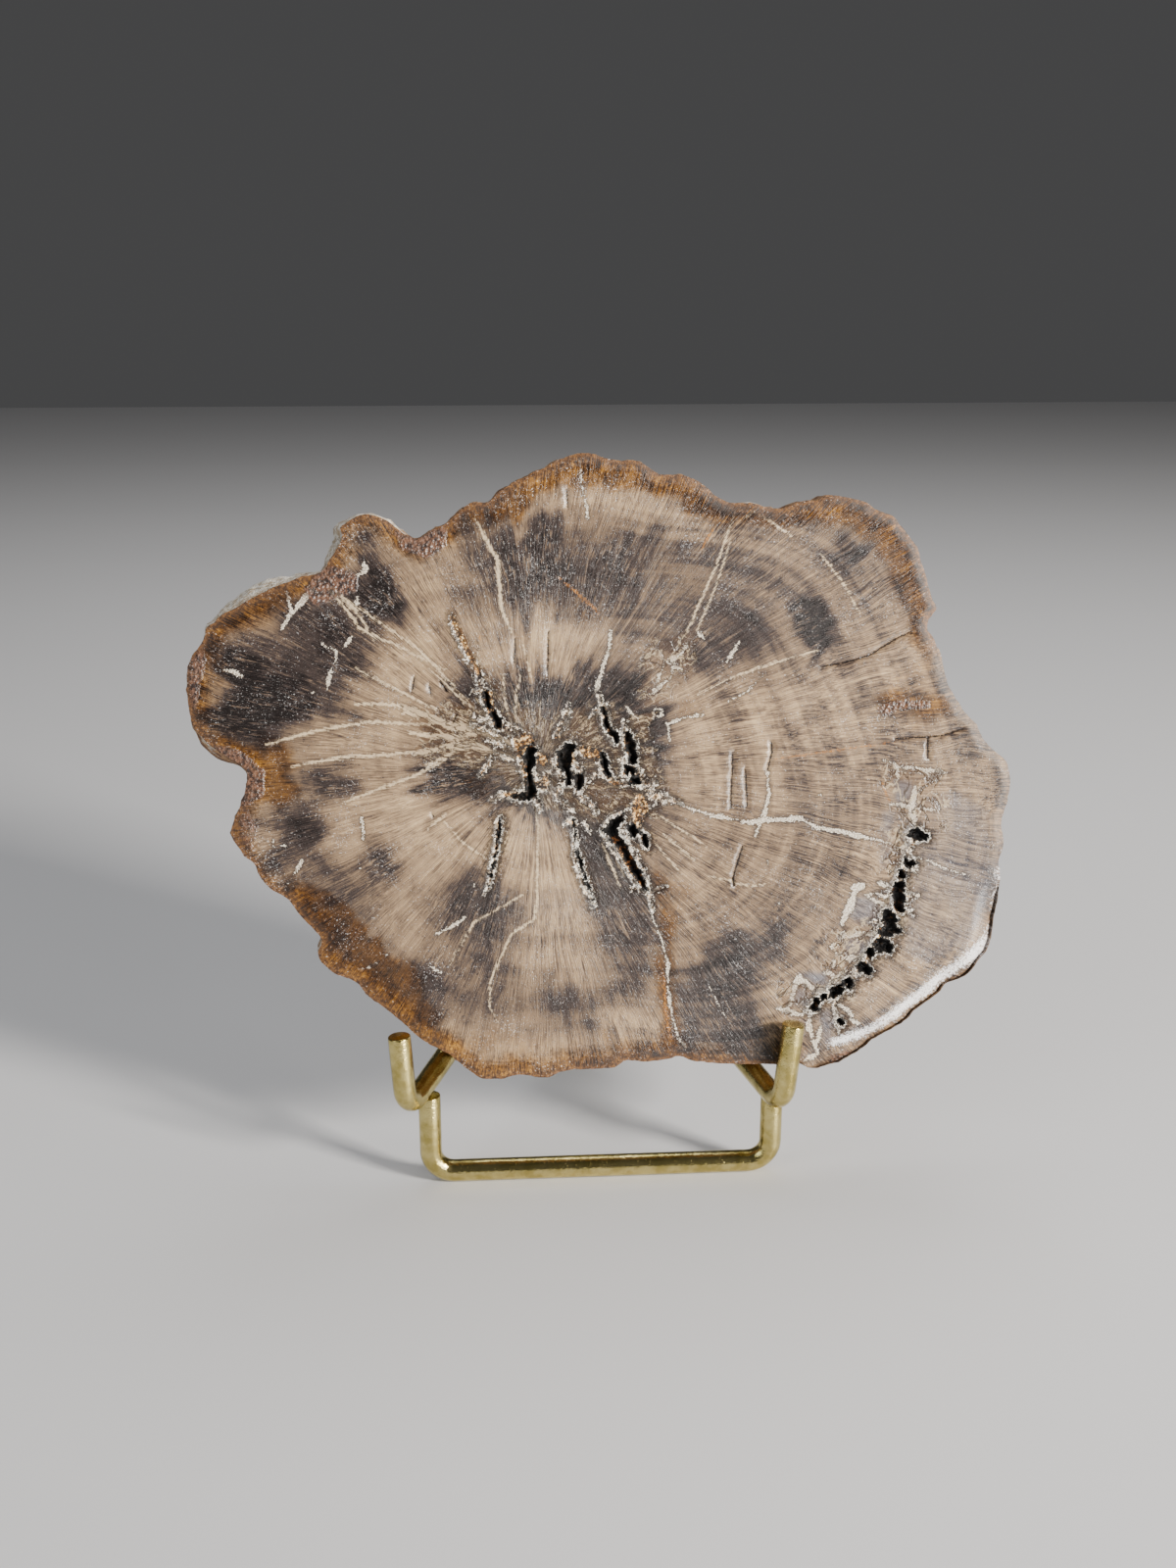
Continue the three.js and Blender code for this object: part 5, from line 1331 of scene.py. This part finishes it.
def bend_wire(name, corners, radii):
    """A round wire through the corners, with an arc of the given radius at each inner one."""
    corners = [Vector(c) * MM for c in corners]
    deselect()
    first_turn = (corners[1] - corners[0]).to_track_quat("Z", "Y").to_euler()
    bpy.ops.mesh.primitive_circle_add(vertices=WIRE_SIDES, radius=WIRE_RADIUS * MM, fill_type="NGON",
                                      location=corners[0], rotation=first_turn)
    wire = bpy.context.object
    wire.name = name
    bpy.ops.object.transform_apply(location=True, rotation=True, scale=True)
    bpy.ops.object.mode_set(mode="EDIT")
    bpy.ops.mesh.select_all(action="SELECT")
    at = corners[0]
    for before, corner, after, radius in zip(corners, corners[1:], corners[2:], radii):
        into, out = (corner - before).normalized(), (after - corner).normalized()
        turn = into.angle(out)
        setback = radius * MM * math.tan(turn / 2)
        bend_start = corner - into * setback
        bpy.ops.mesh.extrude_region_move(TRANSFORM_OT_translate={"value": bend_start - at})
        axis = into.cross(out).normalized()
        centre = bend_start + axis.cross(into) * radius * MM
        steps = max(6, round(turn / BEND_STEP))
        bpy.ops.mesh.spin(steps=steps, angle=-turn, center=centre, axis=axis)
        at = corner + out * setback
    bpy.ops.mesh.extrude_region_move(TRANSFORM_OT_translate={"value": corners[-1] - at})
    bpy.ops.mesh.select_all(action="SELECT")
    bpy.ops.mesh.remove_doubles(threshold=1e-6)
    bpy.ops.mesh.normals_make_consistent(inside=False)
    bpy.ops.object.mode_set(mode="OBJECT")
    wire.data.name = name
    return wire


def bevel_ends(wire, width, segments):
    """Rounds the sharp edges of a wire's cut ends."""
    edit(wire)
    bpy.ops.mesh.select_all(action="DESELECT")
    bpy.ops.mesh.select_mode(type="EDGE")
    bpy.ops.mesh.edges_select_sharp(sharpness=math.radians(60))
    bpy.ops.mesh.bevel(offset=width * MM, segments=segments)
    bpy.ops.object.mode_set(mode="OBJECT")
    bpy.ops.object.shade_smooth_by_angle(angle=math.radians(40))


print("wire", WIRE_RADIUS * 2, "mm thick")

# %% [markdown]
# ## Hook wire
# One wire makes both hooks and the rest behind the slice: it starts at a prong, turns back under the
# slice, climbs to the top of the rest and comes down the other side to the second prong.

# %% Hook wire
hook_wire = bend_wire("brass_hook_wire", [
    (-41.5, -39.4, 36), (-40.5, -39.8, 19.8), (-30.7, -19.8, 25.3), (-1.1, -9.516, 80),
    (28.7, -20.3, 20.8), (34.9, -39.8, 18.5), (36.7, -39.4, 36.2)], [3.8, 5, 9, 5, 3.8])
bevel_ends(hook_wire, 0.3, 3)
rest_top = max((point.co for point in hook_wire.data.vertices), key=lambda co: co.z).copy()
print("hook wire faces:", len(hook_wire.data.polygons), "rest up to", round(rest_top.z / MM, 1), "mm")

# %% [markdown]
# ## Front foot and rear leg
# The front foot is a flat loop on the ground whose ends turn up and are soldered under the arms. The
# rear leg runs from behind the top of the rest to the ground, and its end is cut level with it.

# %% Foot and leg
FOOT_Y = -33.0
LEG_X = -1.1
LEG_OVERRUN = 5

front_foot = bend_wire("brass_front_foot", [
    (-36.2, FOOT_Y, 19.6), (-36.2, FOOT_Y, WIRE_RADIUS), (34, FOOT_Y, WIRE_RADIUS), (34, FOOT_Y, 17.2)],
    [4.8, 4.8])
bevel_ends(front_foot, 0.2, 2)

leg_foot = Vector((LEG_X, 39.2, 0))
leg_top = Vector((LEG_X, rest_top.y / MM + 0.6, rest_top.z / MM - WIRE_RADIUS))
below_ground = leg_foot + (leg_foot - leg_top).normalized() * LEG_OVERRUN
rear_leg = bend_wire("brass_rear_leg", [leg_top, below_ground], [])
edit(rear_leg)
bpy.ops.mesh.bisect(plane_co=(0, 0, 0), plane_no=(0, 0, 1), clear_inner=True, use_fill=True)
bpy.ops.object.mode_set(mode="OBJECT")
bevel_ends(rear_leg, 0.2, 2)
print("leg:", [round(c, 1) for c in leg_top], "to", [round(c, 1) for c in leg_foot])

# %% [markdown]
# ## Brass and floor
# Brass is a metal, so its colour is the colour of its reflection. A broad noise warms it here and there
# as tarnish does, and fine specks dull it a little. The floor has one plain colour.

# %% Brass
brass, brass_shader = finish("pale_brass")
in_mm = place_in_mm()
tarnish = cloud(in_mm, 0.35, 3, 0.6)
specks = cloud(in_mm, 2.2, 2, 0.6)
feed(brass_shader, "Base Color", blend(tarnish.step(0.35, 0.7), tint(208, 192, 128), tint(172, 156, 90)))
feed(brass_shader, "Roughness", 0.13 + tarnish * 0.1 + specks.step(0.6, 0.75) * 0.12)
brass_shader.inputs["Metallic"].default_value = 1
relief = Flow.node("ShaderNodeBump", {}, {"Strength": 0.4, "Distance": 0.3 * MM,
                                         "Height": specks * 0.6 + tarnish})
feed(brass_shader, "Normal", relief)
for wire, node in ((hook_wire, "hook_wire"), (front_foot, "front_foot"), (rear_leg, "rear_leg")):
    wire.data.materials.clear()
    wire.data.materials.append(brass)
    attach(wire, "root")
    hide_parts(node)
print("brass on", [w.name for w in (hook_wire, front_foot, rear_leg)])

# %% Floor finish
floor_paint, floor_shader = finish("floor_paint")
floor_shader.inputs["Base Color"].default_value = tint(206, 206, 208)
floor_shader.inputs["Roughness"].default_value = 0.6
floor.data.materials.append(floor_paint)
print("floor painted")
